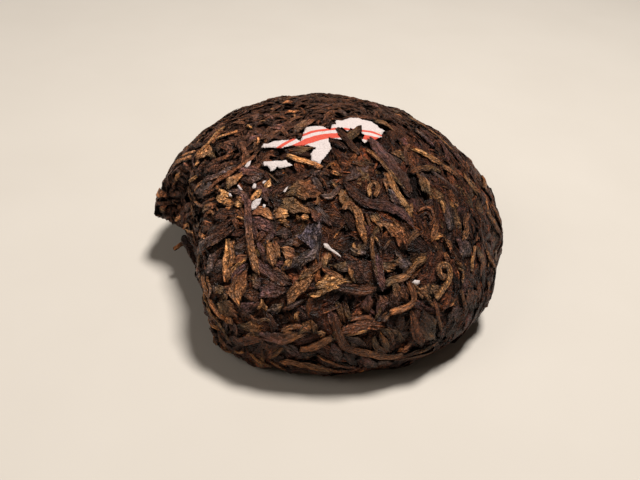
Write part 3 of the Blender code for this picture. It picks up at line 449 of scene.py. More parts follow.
# How each kind of leaf is made: points across its top, their spacing along it, thickness, how many folds it
# has and how wide they are, wrinkle depth, the least and most width left at its ends, how far the ends are
# cut aslant, how much its edges wander, how square its section is, how far it drops to its rims, what share
# of its creases is crisp, and how coarse its texture is along and across
Kind = namedtuple(
    "Kind", "across pace thick folds fold_width wrinkle ends slant wander square drop crisp grain"
)
KINDS = {
    "under": Kind(7, 1.4, 0.40, 2, (0.3, 0.8), 0.06, (0.3, 0.8), 0.4, 0.20, 5, 1.0, 0.2, (1.0, 1.0)),
    "strip": Kind(13, 0.7, 0.34, 7, (0.13, 0.45), 0.05, (0.2, 0.8), 0.5, 0.16, 5, 0.7, 0.4, (1.0, 1.0)),
    "leaf": Kind(13, 0.7, 0.26, 5, (0.13, 0.7), 0.06, (0.2, 0.7), 0.6, 0.16, 9, 0.3, 0.3, (1.2, 0.8)),
    "flake": Kind(15, 0.5, 0.22, 6, (0.13, 0.7), 0.08, (0.4, 0.9), 0.6, 0.20, 12, 0.2, 0.3, (1.6, 0.5)),
    "stem": Kind(9, 0.7, 0.50, 3, (0.25, 0.5), 0.02, (0.8, 1.0), 0.3, 0.06, 3.2, 1.0, 0.2, (0.8, 1.0)),
    "fine": Kind(5, 0.8, 0.28, 2, (0.4, 0.8), 0.05, (0.2, 0.7), 0.4, 0.20, 4, 0.8, 0.5, (1.0, 1.0)),
    "crumb": Kind(5, 0.4, 0.34, 1, (0.4, 0.8), 0.10, (0.4, 0.9), 0.5, 0.25, 5, 0.7, 0.5, (1.5, 0.6)),
    "fibre": Kind(3, 1.0, 0.22, 0, (0.4, 0.8), 0.02, (0.4, 0.8), 0.0, 0.10, 2, 1.0, 0.0, (1.0, 1.0)),
}
SMALL_KINDS = ("fine", "crumb", "fibre")
BEND_LENGTH = 5.0  # a leaf wanders once or so in this length
LOWEST = 0.06  # no leaf reaches under the floor
FLOOR_EASE, FLOOR_GAP = 4.0, 0.25  # how sharply leaves flatten against it, and how far they lie apart there
PITCH = 0.5  # how much higher one end of a leaf can lie than the other
SINK, DIVE = 0.7, 0.9  # how deep the ends of a leaf dive into the nest, and over what length
PRESS_EDGE = 6.0  # how sharply the press flattens what stands out most
KEEL = 0.35  # how far a leaf's back lies under its lowest point, beside its thickness
VALLEY_PAINTED_SHADE, RIDGE_PAINTED_LIGHT = 0.55, 0.80  # painted shade in its valleys and painted light on its ridges: how light the valleys are, and how much lighter the ridges
EVEN_HEIGHT, DEPTH_RATE = 0.05, 1.35  # at what height a leaf has its own colour, and how fast painted shade darkens it further down
DEPTH_PAINTED_SHADES = (0.14, 1.3)  # painted shade deep down and painted light where it stands out: the least and the most of its colour that it then has
TEXTURE_SPREAD = 37.0  # how far the leaves' textures can lie apart
PRESSED_TOP, SHOWING_TOP, LOOSE_TOP = 0.35, 0.65, 0.60  # how far out most, showing and loose leaves reach
SHOWING_SEED = 3
SHOWING_BASE, SHOWING_RISE = 0.08, 0.6  # the level of a showing leaf that stands up by 0, and what 1 adds
SHOWING_SINK = 0.2  # how deep its ends dive
UNDER_SHOWING = 0.36  # how much lower a leaf lies where a showing one covers it
MOST_COVERED = 0.5  # a small leaf that showing ones cover more than this is left out
LOOSE_RISE, LOOSE_ROLL = 0.2, 1.3  # how much higher a loose leaf lies, and how much more it rolls
LOOSE_COVERED, LOOSE_LEVEL = 0.2, -0.15  # it is covered less than this, in a layer that reaches over this

PILES = (
    "under_leaves", "filling_leaves", "dark_strips", "brown_strips", "fine_leaves", "fibres", "flakes",
    "stems", "broad_leaves", "crumbs",
)
SHOWING_PILES = {
    "strip": "dark_strips", "leaf": "broad_leaves", "flake": "flakes", "stem": "stems", "fibre": "fibres",
}
DOME, BREAK, LIP, BOTTOM = ("dome",), ("break",), ("lip",), ("land", "hollow")
OUTSIDE = DOME + BOTTOM

# The random leaves, a layer a row: its seed, leaves to a square centimetre, where they lie, the piece they
# join, their kind and mix of colours, the least and most of their length, width and level, how far they roll
# to a side, and how much of one may cover the ticket
Layer = namedtuple(
    "Layer", "seed per_cm2 regions pile kind mood lengths widths levels roll ticket", defaults=(0.22, 0.04)
)
LAYERS = [
    Layer(1, 4.0, OUTSIDE, "under_leaves", "under", "under", (7, 16), (2.4, 4.4), (-1.1, -0.6), ticket=0.4),
    Layer(11, 10.0, DOME, "filling_leaves", "under", "filling", (4, 10), (2.0, 3.8), (-0.50, -0.15)),
    Layer(15, 9.0, BOTTOM, "filling_leaves", "under", "filling", (4, 10), (2, 4.2), (-0.9, -0.4)),
    Layer(2, 4.5, DOME, "dark_strips", "strip", "strips", (4, 11), (1.7, 3.4), (-0.40, 0.0)),
    Layer(3, 4.0, DOME, "brown_strips", "strip", "strips", (4, 10), (1.1, 2.2), (-0.40, 0.0)),
    Layer(9, 3.6, BOTTOM, "brown_strips", "strip", "strips", (5, 12), (1.4, 3.0), (-0.4, 0.0)),
    Layer(4, 2.4, DOME, "flakes", "flake", "flakes", (3, 7), (2.4, 4.5), (-0.35, 0.0)),
    Layer(5, 1.0, OUTSIDE, "stems", "stem", "stems", (3, 10), (0.7, 1.5), (-0.50, -0.10)),
    Layer(6, 12.0, DOME + BREAK, "fine_leaves", "fine", "fine", (2, 6), (0.4, 1.1), (-0.35, 0.10)),
    Layer(10, 6.0, BOTTOM, "fine_leaves", "fine", "fine", (2, 6), (0.4, 1.1), (-0.50, 0.05)),
    Layer(12, 16.0, DOME, "crumbs", "crumb", "fine", (0.8, 2.2), (0.5, 1.2), (-0.25, 0.15), 0.5),
    Layer(13, 60.0, BREAK, "crumbs", "crumb", "fine", (0.8, 2.4), (0.5, 1.4), (-0.30, 0.40), 0.7),
    Layer(14, 30.0, LIP, "crumbs", "crumb", "fine", (1.2, 3.0), (0.6, 1.2), (0.0, 0.5), 0.5),
    Layer(7, 10.0, OUTSIDE + BREAK, "fibres", "fibre", "fine", (1.5, 5), (0.2, 0.4), (-0.20, 0.15)),
    Layer(8, 14.0, BREAK, "brown_strips", "fine", "fine", (3, 8), (0.7, 1.9), (-0.4, 0.3), 0.5),
]

# How the leaves lie round the nest: azimuth, heading and its spread, in degrees
LIE = [
    (0, 30, 30), (25, 13, 34), (60, 0, 40), (120, -5, 40), (151, -40, 36), (175, -70, 30), (195, -83, 70),
    (225, -90, 80), (245, -90, 90), (295, -90, 90), (312, -95, 30), (330, -120, 26), (348, -145, 26),
    (360, -150, 26),
]
# By azimuth: what share of them lies loose, how coarse they are, how light they are painted as painted light
# and shade for that side, and their green and blue
LOOSE = [(0, 0.10), (30, 0.02), (200, 0.02), (240, 0.08), (300, 0.12), (360, 0.10)]
COARSE = [(0, 0.8), (25, 0.6), (165, 0.5), (195, 0.6), (225, 0.75), (250, 1.0), (330, 1.0), (360, 0.8)]
SIDE_PAINTED_LIGHT = [
    (0, 0.95), (30, 1.0), (150, 1.25), (185, 1.7), (215, 1.8), (250, 1.2), (300, 0.95), (330, 1.0),
    (360, 0.95),
]
HUE = [
    (0, 0.86, 0.82), (40, 1.02, 1.1), (160, 1.02, 1.1), (200, 1.05, 1.25), (235, 0.97, 0.97),
    (270, 0.90, 0.82), (320, 0.86, 0.80), (360, 0.86, 0.82),
]
# What a random leaf's colour is multiplied by: all of it, each of red, green and blue, and at its far end
SHADE_SPREAD, HUE_SPREAD, END_SPREAD = (0.75, 1.3), (0.93, 1.07), (0.7, 1.4)
FOOT_PAINTED_SHADE = np.array((0.28, 0.42, 0.55))  # painted shade at the foot, browner as a warm painted reflection from below: how much of each colour it takes away
FOOT_DARK, FOOT_FADE = 3.0, 15.0  # up to what height that painted shade is whole, and over what height it fades

# Mixes of leaf colours, as names and shares
MOODS = {
    "under": [("black", 5), ("dark", 5), ("brown", 2)],
    "filling": [("black", 2), ("dark", 6), ("brown", 5), ("purple", 2), ("olive", 2), ("grey", 1)],
    "strips": [
        ("black", 4), ("dark", 8), ("brown", 5), ("chestnut", 2), ("purple", 2), ("grey", 1), ("olive", 1.5),
        ("tan", 0.5),
    ],
    "flakes": [("dark", 3), ("grey", 2), ("olive", 2), ("brown", 3), ("purple", 2), ("black", 2)],
    "stems": [("brown", 3), ("chestnut", 3), ("tan", 3), ("orange", 0.8), ("gold", 0.8), ("purple", 2)],
    "fine": [
        ("black", 4), ("dark", 6), ("brown", 5), ("chestnut", 2.5), ("tan", 1.2), ("gold", 0.35),
        ("olive", 1),
    ],
}

# The photograph's camera, fitted to the nest's outline and foot; its place is in metres
CAMERA_PLACE = (-0.0016, -0.13494, 0.11264)
CAMERA_DOWN, CAMERA_ROLL = 38.09, 4.11
CAMERA_SENSOR, CAMERA_LENS = 36.0, 39.375
PHOTO_MIDDLE = np.array((320, 240))
FOCAL = 2 * PHOTO_MIDDLE[0] * CAMERA_LENS / CAMERA_SENSOR  # in pixels of the photograph
SEARCH_STEPS = (3, 1.5, 0.8, 0.4, 0.2)  # down from the crown, and twice as many degrees round it
FLOOR_HALF = 1.5  # metres


def crown_profile(steps):
    """(radius, height) from the flat ring's outer edge up over the girth to the crown's pole."""
    points = []
    for i in range(steps // 3):
        turn = math.pi / 2 * i / (steps // 3)
        radius = LAND_OUTER + (GIRTH_RADIUS - LAND_OUTER) * math.sin(turn)
        points.append((radius, GIRTH_HEIGHT * (1 - math.cos(turn))))
    for i in range(steps + 1):
        turn = math.pi / 2 * i / steps
        radius = GIRTH_RADIUS * math.cos(turn) ** (2 / CROWN_POWER)
        rise = math.sin(turn) ** (2 / CROWN_POWER)
        points.append((radius, GIRTH_HEIGHT + (CROWN_HEIGHT - GIRTH_HEIGHT) * rise))
    points[-1] = (0.0, CROWN_HEIGHT)
    return points


def hollow_profile(steps):
    """(radius, height) from the hollow's pole down to its mouth and over the flat ring."""
    points = []
    for i in range(steps):
        turn = math.pi / 2 * i / steps
        height = LIP_HEIGHT + (HOLLOW_DEPTH - LIP_HEIGHT) * math.cos(turn)
        points.append((HOLLOW_RADIUS * math.sin(turn), height))
    for i in range(4):
        turn = math.pi / 2 * i / 4
        radius = LAND_INNER - (LAND_INNER - HOLLOW_RADIUS) * math.cos(turn)
        points.append((radius, LIP_HEIGHT * (1 - math.sin(turn))))
    return points + [(radius, 0.0) for radius in np.linspace(LAND_INNER, LAND_OUTER, 5)[:-1]]


def leaning(point):
    """Where a point goes with the crown, which leans to the left and the front."""
    return point + CROWN_LEAN * (point[2] / CROWN_HEIGHT) ** 2


def swell(azimuth, height):
    """How far the girth stands out at an azimuth in radians and a height."""
    azimuths, amounts = np.array(SWELL).T
    fade = min(1.0, max(0.0, 2 - 2 * height / SWELL_TOP))
    return float(np.interp(math.degrees(azimuth) % 360, azimuths, amounts)) * fade


def lump(point):
    """How far the pressed leaf under the surface pushes it out at a point."""
    calm = min(1.0, point[2] / CALM_HEIGHT)
    crown = np.linalg.norm(point - leaning(np.array((0, 0, CROWN_HEIGHT))))
    calm *= 0.25 + 0.75 * min(1.0, max(0.0, crown / CALM_RADIUS - 0.6) / 0.4)
    return LUMP_DEPTH * calm * noise.noise(Vector(point / LUMP_SIZE))


def body_point(radius, height, azimuth):
    """The unbroken nest's surface point for one point of the profile, at an azimuth in radians."""
    side = np.array((math.cos(azimuth), math.sin(azimuth), 0))
    point = side * radius + np.array((0, 0, height))
    outward = point - np.array((0, 0, GIRTH_HEIGHT))
    moved = leaning(point) + side * (swell(azimuth, height) if radius > LAND_INNER else 0.0)
    return moved + outward / np.linalg.norm(outward) * lump(moved)


def raw_mesh(name, points, faces):
    mesh = bpy.data.meshes.new(name)
    mesh.from_pydata([tuple(p) for p in points], [], faces)
    made = bpy.data.objects.new(name, mesh)
    bpy.context.scene.collection.objects.link(made)
    return made


def face_outwards(made):
    shape = bmesh.new()
    shape.from_mesh(made.data)
    bmesh.ops.recalc_face_normals(shape, faces=shape.faces)
    shape.to_mesh(made.data)
    shape.free()
    return made


def whole_body():
    """The nest before it was broken."""
    profile = hollow_profile(HOLLOW_STEPS) + crown_profile(CROWN_STEPS)
    points, rings = [], []
    for radius, height in profile:
        count = RING_STEPS if radius > 0 else 1
        rings.append(range(len(points), len(points) + count))
        points += [body_point(radius, height, math.tau * i / count) for i in range(count)]
    faces = []
    for low, high in zip(rings, rings[1:]):
        for i in range(RING_STEPS):
            a, b = low[i % len(low)], low[(i + 1) % len(low)]
            c, d = high[(i + 1) % len(high)], high[i % len(high)]
            faces.append([v for k, v in enumerate((a, b, c, d)) if v not in (a, b, c, d)[:k]])
    return face_outwards(raw_mesh("whole_body", points, faces))


def break_cutter():
    """The piece that was broken off, with the ragged face that it left."""
    facing = np.array((math.cos(BREAK_FACING), math.sin(BREAK_FACING), 0))
    foot, lip = (np.array([(x, y, 0.0) for x, y in line]) for line in (BREAK_FOOT, BREAK_LIP))
    runs = np.linalg.norm(np.diff(lip, axis=0), axis=1)
    counts = [max(1, round(run / BREAK_STEP)) for run in runs]
    at = np.concatenate([np.linspace(i, i + 1, count, False) for i, count in enumerate(counts)])
    at = np.append(at, len(lip) - 1)
    heights, setbacks = np.array(BREAK_SETBACK).T
    points, rows = [], []
    for height in np.arange(-2, heights[-1] + BREAK_STEP, BREAK_STEP):
        share = min(1.0, max(0.0, height / BREAK_LIP_HEIGHT))
        share = share * share * (3 - 2 * share)
        corners = foot + (lip - foot) * share
        line = np.column_stack([np.interp(at, range(len(lip)), corners[:, k]) for k in range(3)])
        back = np.interp(height, heights, setbacks)
        row = []
        for point in line:
            ragged = BREAK_RAGGED * noise.noise(Vector((point[0], point[1], height)) / BREAK_GRAIN)
            row.append(point + facing * (ragged - back) + (0, 0, height))
        row += [end + facing * BREAK_REACH + (0, 0, height) for end in (line[-1], line[0])]
        rows.append(range(len(points), len(points) + len(row)))
        points += row
    faces = [list(reversed(rows[0])), list(rows[-1])]
    for low, high in zip(rows, rows[1:]):
        for i in range(len(low)):
            after = (i + 1) % len(low)
            faces.append([low[i], low[after], high[after], high[i]])
    return face_outwards(raw_mesh("break_cutter", points, faces))


def sight(pixel):
    """The direction in which the camera sees a pixel of the photograph."""
    roll, down = math.radians(CAMERA_ROLL), math.radians(CAMERA_DOWN)
    right, low = (np.array(pixel) - PHOTO_MIDDLE) / FOCAL
    right, low = (
        right * math.cos(roll) + low * math.sin(roll),
        low * math.cos(roll) - right * math.sin(roll),
    )
    way = np.array((right, math.cos(down) - low * math.sin(down), -low * math.cos(down) - math.sin(down)))
    return way / np.linalg.norm(way)


def broken_body(whole):
    """The nest with its rim broken away."""
    cutter = break_cutter()
    modifier = whole.modifiers.new("break", "BOOLEAN")
    modifier.operation, modifier.solver, modifier.object = "DIFFERENCE", "EXACT", cutter
    mesh = bpy.data.meshes.new_from_object(whole.evaluated_get(bpy.context.evaluated_depsgraph_get()))
    bpy.data.objects.remove(cutter)
    bpy.data.objects.remove(whole)
    return mesh


class Surface:
    """The broken nest's surface, which leaves are laid along."""

    def __init__(self, mesh, whole_tree):
        mesh.calc_loop_triangles()
        self.points = np.array([v.co for v in mesh.vertices])
        self.triangles = np.array([t.vertices for t in mesh.loop_triangles])
        self.tree = BVHTree.FromPolygons(self.points.tolist(), self.triangles.tolist())
        self.whole = whole_tree
        self.profile = list(reversed(crown_profile(DROP_STEPS)))
        steps = [math.dist(a, b) for a, b in zip(self.profile, self.profile[1:])]
        self.drops = np.concatenate([[0.0], np.cumsum(steps)])
        corners = self.points[self.triangles]
        crosses = np.cross(corners[:, 1] - corners[:, 0], corners[:, 2] - corners[:, 0])
        self.areas = np.linalg.norm(crosses, axis=1) / 2
        self.centres = corners.mean(axis=1)
        self.regions = np.array([self.region(c) for c in self.centres])
        broken = KDTree(len(self.centres))
        for i in np.flatnonzero(self.regions == "break"):
            broken.insert(self.centres[i], i)
        broken.balance()
        self.lip = (self.regions == "dome") & np.array([broken.find(c)[2] < LIP_WIDTH for c in self.centres])

    def region(self, point):
        """Which side of the nest a point of its surface is on."""
        radius = math.hypot(point[0], point[1])
        if radius < LAND_INNER and point[2] < HOLLOW_DEPTH + 1:
            return "hollow"
        if self.whole.find_nearest(Vector(point))[3] > 0.5:
            return "break"
        return "land" if point[2] < 1.0 else "dome"

    def nearest(self, point):
        where, normal, _, _ = self.tree.find_nearest(point)
        return where, normal

    def at(self, azimuth, drop):
        """The surface's point and normal at an azimuth in radians and at a distance down from the crown."""
        radius, height = (np.interp(drop, self.drops, [p[k] for p in self.profile]) for k in (0, 1))
        point = leaning(np.array((radius * math.cos(azimuth), radius * math.sin(azimuth), height)))
        return self.nearest(Vector(point))

    def seen(self, pixel):
        """The place on the surface that a pixel of the photograph shows: a whole azimuth and a distance down
        from the crown to a tenth."""
        eye = np.array(CAMERA_PLACE) / MM - CENTRING
        spot = np.array(self.tree.ray_cast(Vector(eye), Vector(sight(pixel)))[0])
        upright = spot - CROWN_LEAN * (spot[2] / CROWN_HEIGHT) ** 2
        azimuth = math.degrees(math.atan2(upright[1], upright[0])) % 360
        drop = float(np.interp(-spot[2], [-height for _, height in self.profile], self.drops))
        for step in SEARCH_STEPS:
            near = [(azimuth + 2 * step * i, drop + step * j) for i in range(-2, 3) for j in range(-2, 3)]
            tries = [(math.dist(self.at(math.radians(a), d)[0], spot), a, d) for a, d in near if d > 0]
            _, azimuth, drop = min(tries)
        return round(azimuth % 360), round(drop, 1)

    def traced(self, corners, pace):
        """A smooth path through corners, each an azimuth in degrees and a distance down from the crown."""
        line = np.array([self.at(math.radians(azimuth), drop)[0] for azimuth, drop in corners])
        for _ in range(3):
            cut = np.stack([0.75 * line[:-1] + 0.25 * line[1:], 0.25 * line[:-1] + 0.75 * line[1:]], axis=1)
            line = np.concatenate([line[:1], cut.reshape(-1, 3), line[-1:]])
        far = np.concatenate([[0.0], np.cumsum(np.linalg.norm(np.diff(line, axis=0), axis=1))])
        at = np.linspace(0, far[-1], max(4, round(far[-1] / pace) + 1))
        spots = [self.nearest(Vector([np.interp(a, far, line[:, k]) for k in range(3)])) for a in at]
        where, normal = (np.array([spot[k] for spot in spots]) for k in (0, 1))
        around = np.concatenate([normal[:1], normal, normal[-1:]])
        normal = around[:-2] + 2 * around[1:-1] + around[2:]
        normal /= np.linalg.norm(normal, axis=1)[:, None]
        direction = np.gradient(where, axis=0)
        direction -= normal * (direction * normal).sum(axis=1)[:, None]
        return where, direction / np.linalg.norm(direction, axis=1)[:, None], normal

    def within(self, regions):
        """Which triangles are in some regions."""
        return np.isin(self.regions, regions) | (self.lip & ("lip" in regions))

    def scatter(self, draw, count, regions):
        """Random points of the surface in some regions, even by area."""
        weights = self.areas * self.within(regions)
        for index in draw.choice(len(weights), count, p=weights / weights.sum()):
            a, b = draw.random(2)
            a, b = (1 - a, 1 - b) if a + b > 1 else (a, b)
            p, q, r = self.points[self.triangles[index]]
            yield self.nearest(Vector(p + (q - p) * a + (r - p) * b))

    def area(self, regions):
        return float(self.areas[self.within(regions)].sum())

    def walk(self, point, normal, heading, length, turn, pace):
        """Arrays of points, directions and normals along a leaf that is laid from a point and turns a little
        at each station. It stops at a corner."""
        stations = max(4, round(length / pace) + 1)
        around = Vector((-point.y, point.x, 0))
        if around.length < 1e-6:
            around = Vector((1, 0, 0))
        around = (around - normal * around.dot(normal)).normalized()
        direction = Quaternion(normal, heading) @ around
        walked = [(point, direction, normal)]
        for _ in range(stations - 1):
            direction = Quaternion(normal, turn) @ direction
            point, after = self.nearest(point + direction * length / (stations - 1))
            if after.dot(normal) < 0.5:
                break
            normal = after
            direction = (direction - normal * direction.dot(normal)).normalized()
            walked.append((point, direction, normal))
        return [np.array(part) for part in zip(*walked)]


def soft_floor(heights):
    """Heights over the floor, with those near or under it eased up so that no two leaves share a plane."""
    return LOWEST + np.log1p(np.exp(FLOOR_EASE * (heights - LOWEST))) / FLOOR_EASE


class Leaf:
    """One leaf laid along a path, as rows of points across it. Its methods draw random numbers, so the order
    of their calls counts."""

    def __init__(self, draw, path, width, shape):
        self.draw, self.width, self.shape = draw, width, shape
        self.where, self.direction, self.normal = path
        self.length = float(np.linalg.norm(np.diff(self.where, axis=0), axis=1).sum())
        self.bends = max(1.0, self.length / BEND_LENGTH)
        self.along = np.linspace(0, 1, len(self.where))[:, None]
        self.near, self.far = self.along * self.length, (1 - self.along) * self.length
        even = np.linspace(-1, 1, shape.across)[None, :]
        self.across = np.sign(even) * np.abs(even) ** 0.8
        self.cut()
        self.fold()

    def wave(self, bends=1.0):
        """A smooth random curve along the leaf, about one unit either way."""
        draw, bends = self.draw, bends * self.bends
        slow, fast = draw.uniform(0.3, 0.6) * bends, draw.uniform(0.7, 1.2) * bends
        return 0.6 * np.sin(math.tau * (slow * self.along + draw.random())) + 0.4 * np.sin(
            math.tau * (fast * self.along + draw.random())
        )

    def edge(self):
        """How far out one edge runs, beside its even width."""
        wander = self.shape.wander
        return 1 + wander * self.wave(2.2) + self.draw.normal(0, 0.4 * wander, self.along.shape)

    def cut(self):
        """Its outline: how far its points lie aside of the path and past their station of it."""
        draw, shape, across = self.draw, self.shape, self.across
        ends = draw.uniform(*shape.ends, 2)
        reaches = np.minimum(0.45, draw.uniform(0.5, 1.6, 2) * self.width / self.length)
        start = ends[0] + (1 - ends[0]) * np.clip(self.along / reaches[0], 0, 1)
        finish = ends[1] + (1 - ends[1]) * np.clip((1 - self.along) / reaches[1], 0, 1)
        left, right = self.edge(), self.edge()
        self.half = self.width / 2 * (start * finish) * np.where(across < 0, left, right)
        self.aside = self.half * across + 0.10 * self.width * self.wave()
        slants = draw.normal(0, shape.slant, 2)[:, None] * across
        slants = slants + draw.normal(0, 0.3 * shape.slant, (2, shape.across))
        run = 0.6 * self.width
        self.past = self.width / 2 * (
            slants[:1] * np.exp(-self.near / run) + slants[1:] * np.exp(-self.far / run)
        )

    def fold(self):
        """Its height before it is pressed: a rounded section with sharp folds and wrinkles."""
        draw, shape, across = self.draw, self.shape, self.across
        self.thick = shape.thick * (0.5 + 0.5 * min(1.0, self.width / 2.0)) * draw.uniform(0.8, 1.2)
        height = self.thick * (1 - shape.drop * np.abs(across) ** shape.square)
        for _ in range(shape.folds):
            centre = draw.uniform(-0.9, 0.9) + 0.35 * self.wave()
            depth = draw.choice((-1.0, 0.8)) * self.thick * draw.uniform(0.3, 0.9) * (0.6 + 0.4 * self.wave())
            far = np.abs(across - centre) / draw.uniform(*shape.fold_width)
            height = height + depth * np.maximum(0, 1 - far)
        for _ in range(2):
            ripple = draw.uniform(0.4, 1.2) * across
            ripple = ripple + 1.1 * self.bends * self.along * draw.uniform(0.7, 1.5) + draw.random()
            height = height + shape.wrinkle * (4 * np.abs(ripple % 1 - 0.5) - 1) * draw.uniform(0.5, 1.0)
        self.height = height + draw.normal(0, 0.5 * shape.wrinkle, height.shape)
        self.ridge = np.clip(0.5 + 0.8 * (self.height - 0.6 * self.thick) / self.thick, 0, 1)

    def press(self, level, roll, sink, top, relief):
        """Rolls and pitches it, sinks its ends and flattens what stands out over the top."""
        rolled = roll * self.aside * (1 + 0.5 * self.wave())
        height = self.height + rolled + self.draw.uniform(-PITCH, PITCH) * (self.along - 0.5)
        dive = np.exp(-((self.near / DIVE) ** 2)) + np.exp(-((self.far / DIVE) ** 2))
        height = relief * (height + level - sink * dive)
        self.height = top - np.log1p(np.exp(PRESS_EDGE * (top - height))) / PRESS_EDGE

    def points(self):
        """Its rows of points, each with a last one for its keel, the back that nobody sees."""
        side = np.cross(self.normal, self.direction)[:, None]
        rows = self.where[:, None] + side * self.aside[..., None]
        rows = rows + self.direction[:, None] * self.past[..., None]
        rows = rows + self.normal[:, None] * self.height[..., None]
        keel = self.where + self.normal * (self.height.min(axis=1) - KEEL * self.thick)[:, None]
        rows = np.concatenate([rows, keel[:, None]], axis=1)
        apart = self.draw.uniform(0.0, FLOOR_GAP) * np.exp(-np.maximum(0, rows[..., 2]))
        rows[..., 2] = soft_floor(rows[..., 2] - apart)
        return rows

    def tints(self, start, end):
        """The colours of its points: painted light on ridges and painted shade in valleys, edges lighter with
        wear and painted highlight, painted shade that is darker and redder deep down, and painted shade on
        its rims and ends.
        """
        blend = np.clip(self.along * 1.5 - 0.25 + 0.2 * self.wave(), 0, 1)
        tint = np.array(start) * (1 - blend) + np.array(end) * blend
        # Painted shade: darker and redder the deeper the leaf lies, lighter where it stands out
        depth_painted_shade = np.clip(1.0 + DEPTH_RATE * (self.height - EVEN_HEIGHT), *DEPTH_PAINTED_SHADES)[..., None] ** DEEP_SHADE_HUE
        # Painted light on the ridges and painted shade in the valleys
        tint = tint[:, None] * (VALLEY_PAINTED_SHADE + RIDGE_PAINTED_LIGHT * self.ridge[..., None]) * depth_painted_shade
        # Lighter edges: partly real wear, partly painted highlight
        edge_wear_and_glint = np.clip(np.abs(self.across) ** 4 * (0.4 + self.wave(2)), 0, 1)[..., None]
        tint = tint + edge_wear_and_glint * self.draw.random() ** 2 * np.array(EDGE_WEAR_AND_GLINT)
        # Painted shade along the leaf's rims and at its ends
        tint[:, [0, -1]] *= RIM_PAINTED_SHADE
        tint[[0, -1]] *= RIM_PAINTED_SHADE
        return np.concatenate([tint, tint[:, :1]], axis=1)

    def grains(self):
        """Where its points lie in the leaf's texture: along it, across it, and a depth of the leaf's own."""
        grain = np.zeros((len(self.where), self.shape.across + 1, 3))
        grain[..., 0] = self.along * self.length * self.shape.grain[0]
        grain[:, :-1, 1] = self.half * self.across * self.shape.grain[1]
        grain[..., 2] = TEXTURE_SPREAD * self.draw.random()
        return grain

    def rims(self):
        """Marks of its rims, its ends and some creases. An edge is crisp where its points share a mark."""
        count = self.shape.across
        rim = np.zeros((len(self.where), count + 1), np.int32)
        rim[:, :-1] |= (self.draw.random(count) < self.shape.crisp) * (2 << np.arange(count) % 24)
        rim[:, [0, -2]] |= 1
        rim[[0, -1], :-1] |= 1
        return rim

    def faces(self, first):
        """The closed skin round its rows, for points that are numbered from the first."""
        count, ring = len(self.where), self.shape.across + 1
        rows = first + np.arange(count - 1)[:, None] * ring
        here, after = rows + np.arange(ring)[None, :], rows + (np.arange(ring)[None, :] + 1) % ring
        skin = np.stack([here, here + ring, after + ring, after], axis=-1).reshape(-1, 4).tolist()
        last = first + (count - 1) * ring
        return skin + [list(range(first, first + ring)), list(range(last + ring - 1, last - 1, -1))]


class Pile:
    """Leaves that make up one piece."""

    def __init__(self, name):
        self.name, self.faces, self.total = name, [], 0
        self.points, self.tints, self.grains, self.rims = [], [], [], []

    def lay(self, draw, path, width, kind, tints, level, roll=0.0, sink=SINK, top=PRESSED_TOP, relief=1.0):
        """Adds one leaf along a path. The relief is how much of its height the press has left it."""
        if len(path[0]) < 3:
            return
        leaf = Leaf(draw, path, width, KINDS[kind])
        leaf.press(level, roll, sink, top, relief)
        self.points.append(leaf.points().reshape(-1, 3))
        self.tints.append(leaf.tints(*tints).reshape(-1, 3))
        self.grains.append(leaf.grains().reshape(-1, 3))
        self.rims.append(leaf.rims().ravel())
        self.faces += leaf.faces(self.total)
        self.total += len(self.points[-1])

    def build(self, paint):
        points = np.concatenate(self.points)
        made = raw_mesh(self.name, (points + CENTRING) * MM, self.faces)
        mesh = made.data
        tints = np.column_stack([np.concatenate(self.tints), np.ones(len(points))])
        mesh.attributes.new("tint", "FLOAT_COLOR", "POINT").data.foreach_set("color", tints.ravel())
        grains = np.concatenate(self.grains)
        mesh.attributes.new("grain", "FLOAT_VECTOR", "POINT").data.foreach_set("vector", grains.ravel())
        mesh.shade_smooth()
        rims = np.concatenate(self.rims)
        ends = np.zeros(2 * len(mesh.edges), np.int32)
        mesh.edges.foreach_get("vertices", ends)
        crisp = (rims[ends[0::2]] & rims[ends[1::2]]) > 0
        mesh.attributes.new("sharp_edge", "BOOLEAN", "EDGE").data.foreach_set("value", crisp)
        mesh.materials.append(paint)
        dress(made)


def dress(piece):
    """Gives a piece its place in the part: the body it rides on."""
    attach(piece, "root")
    return piece


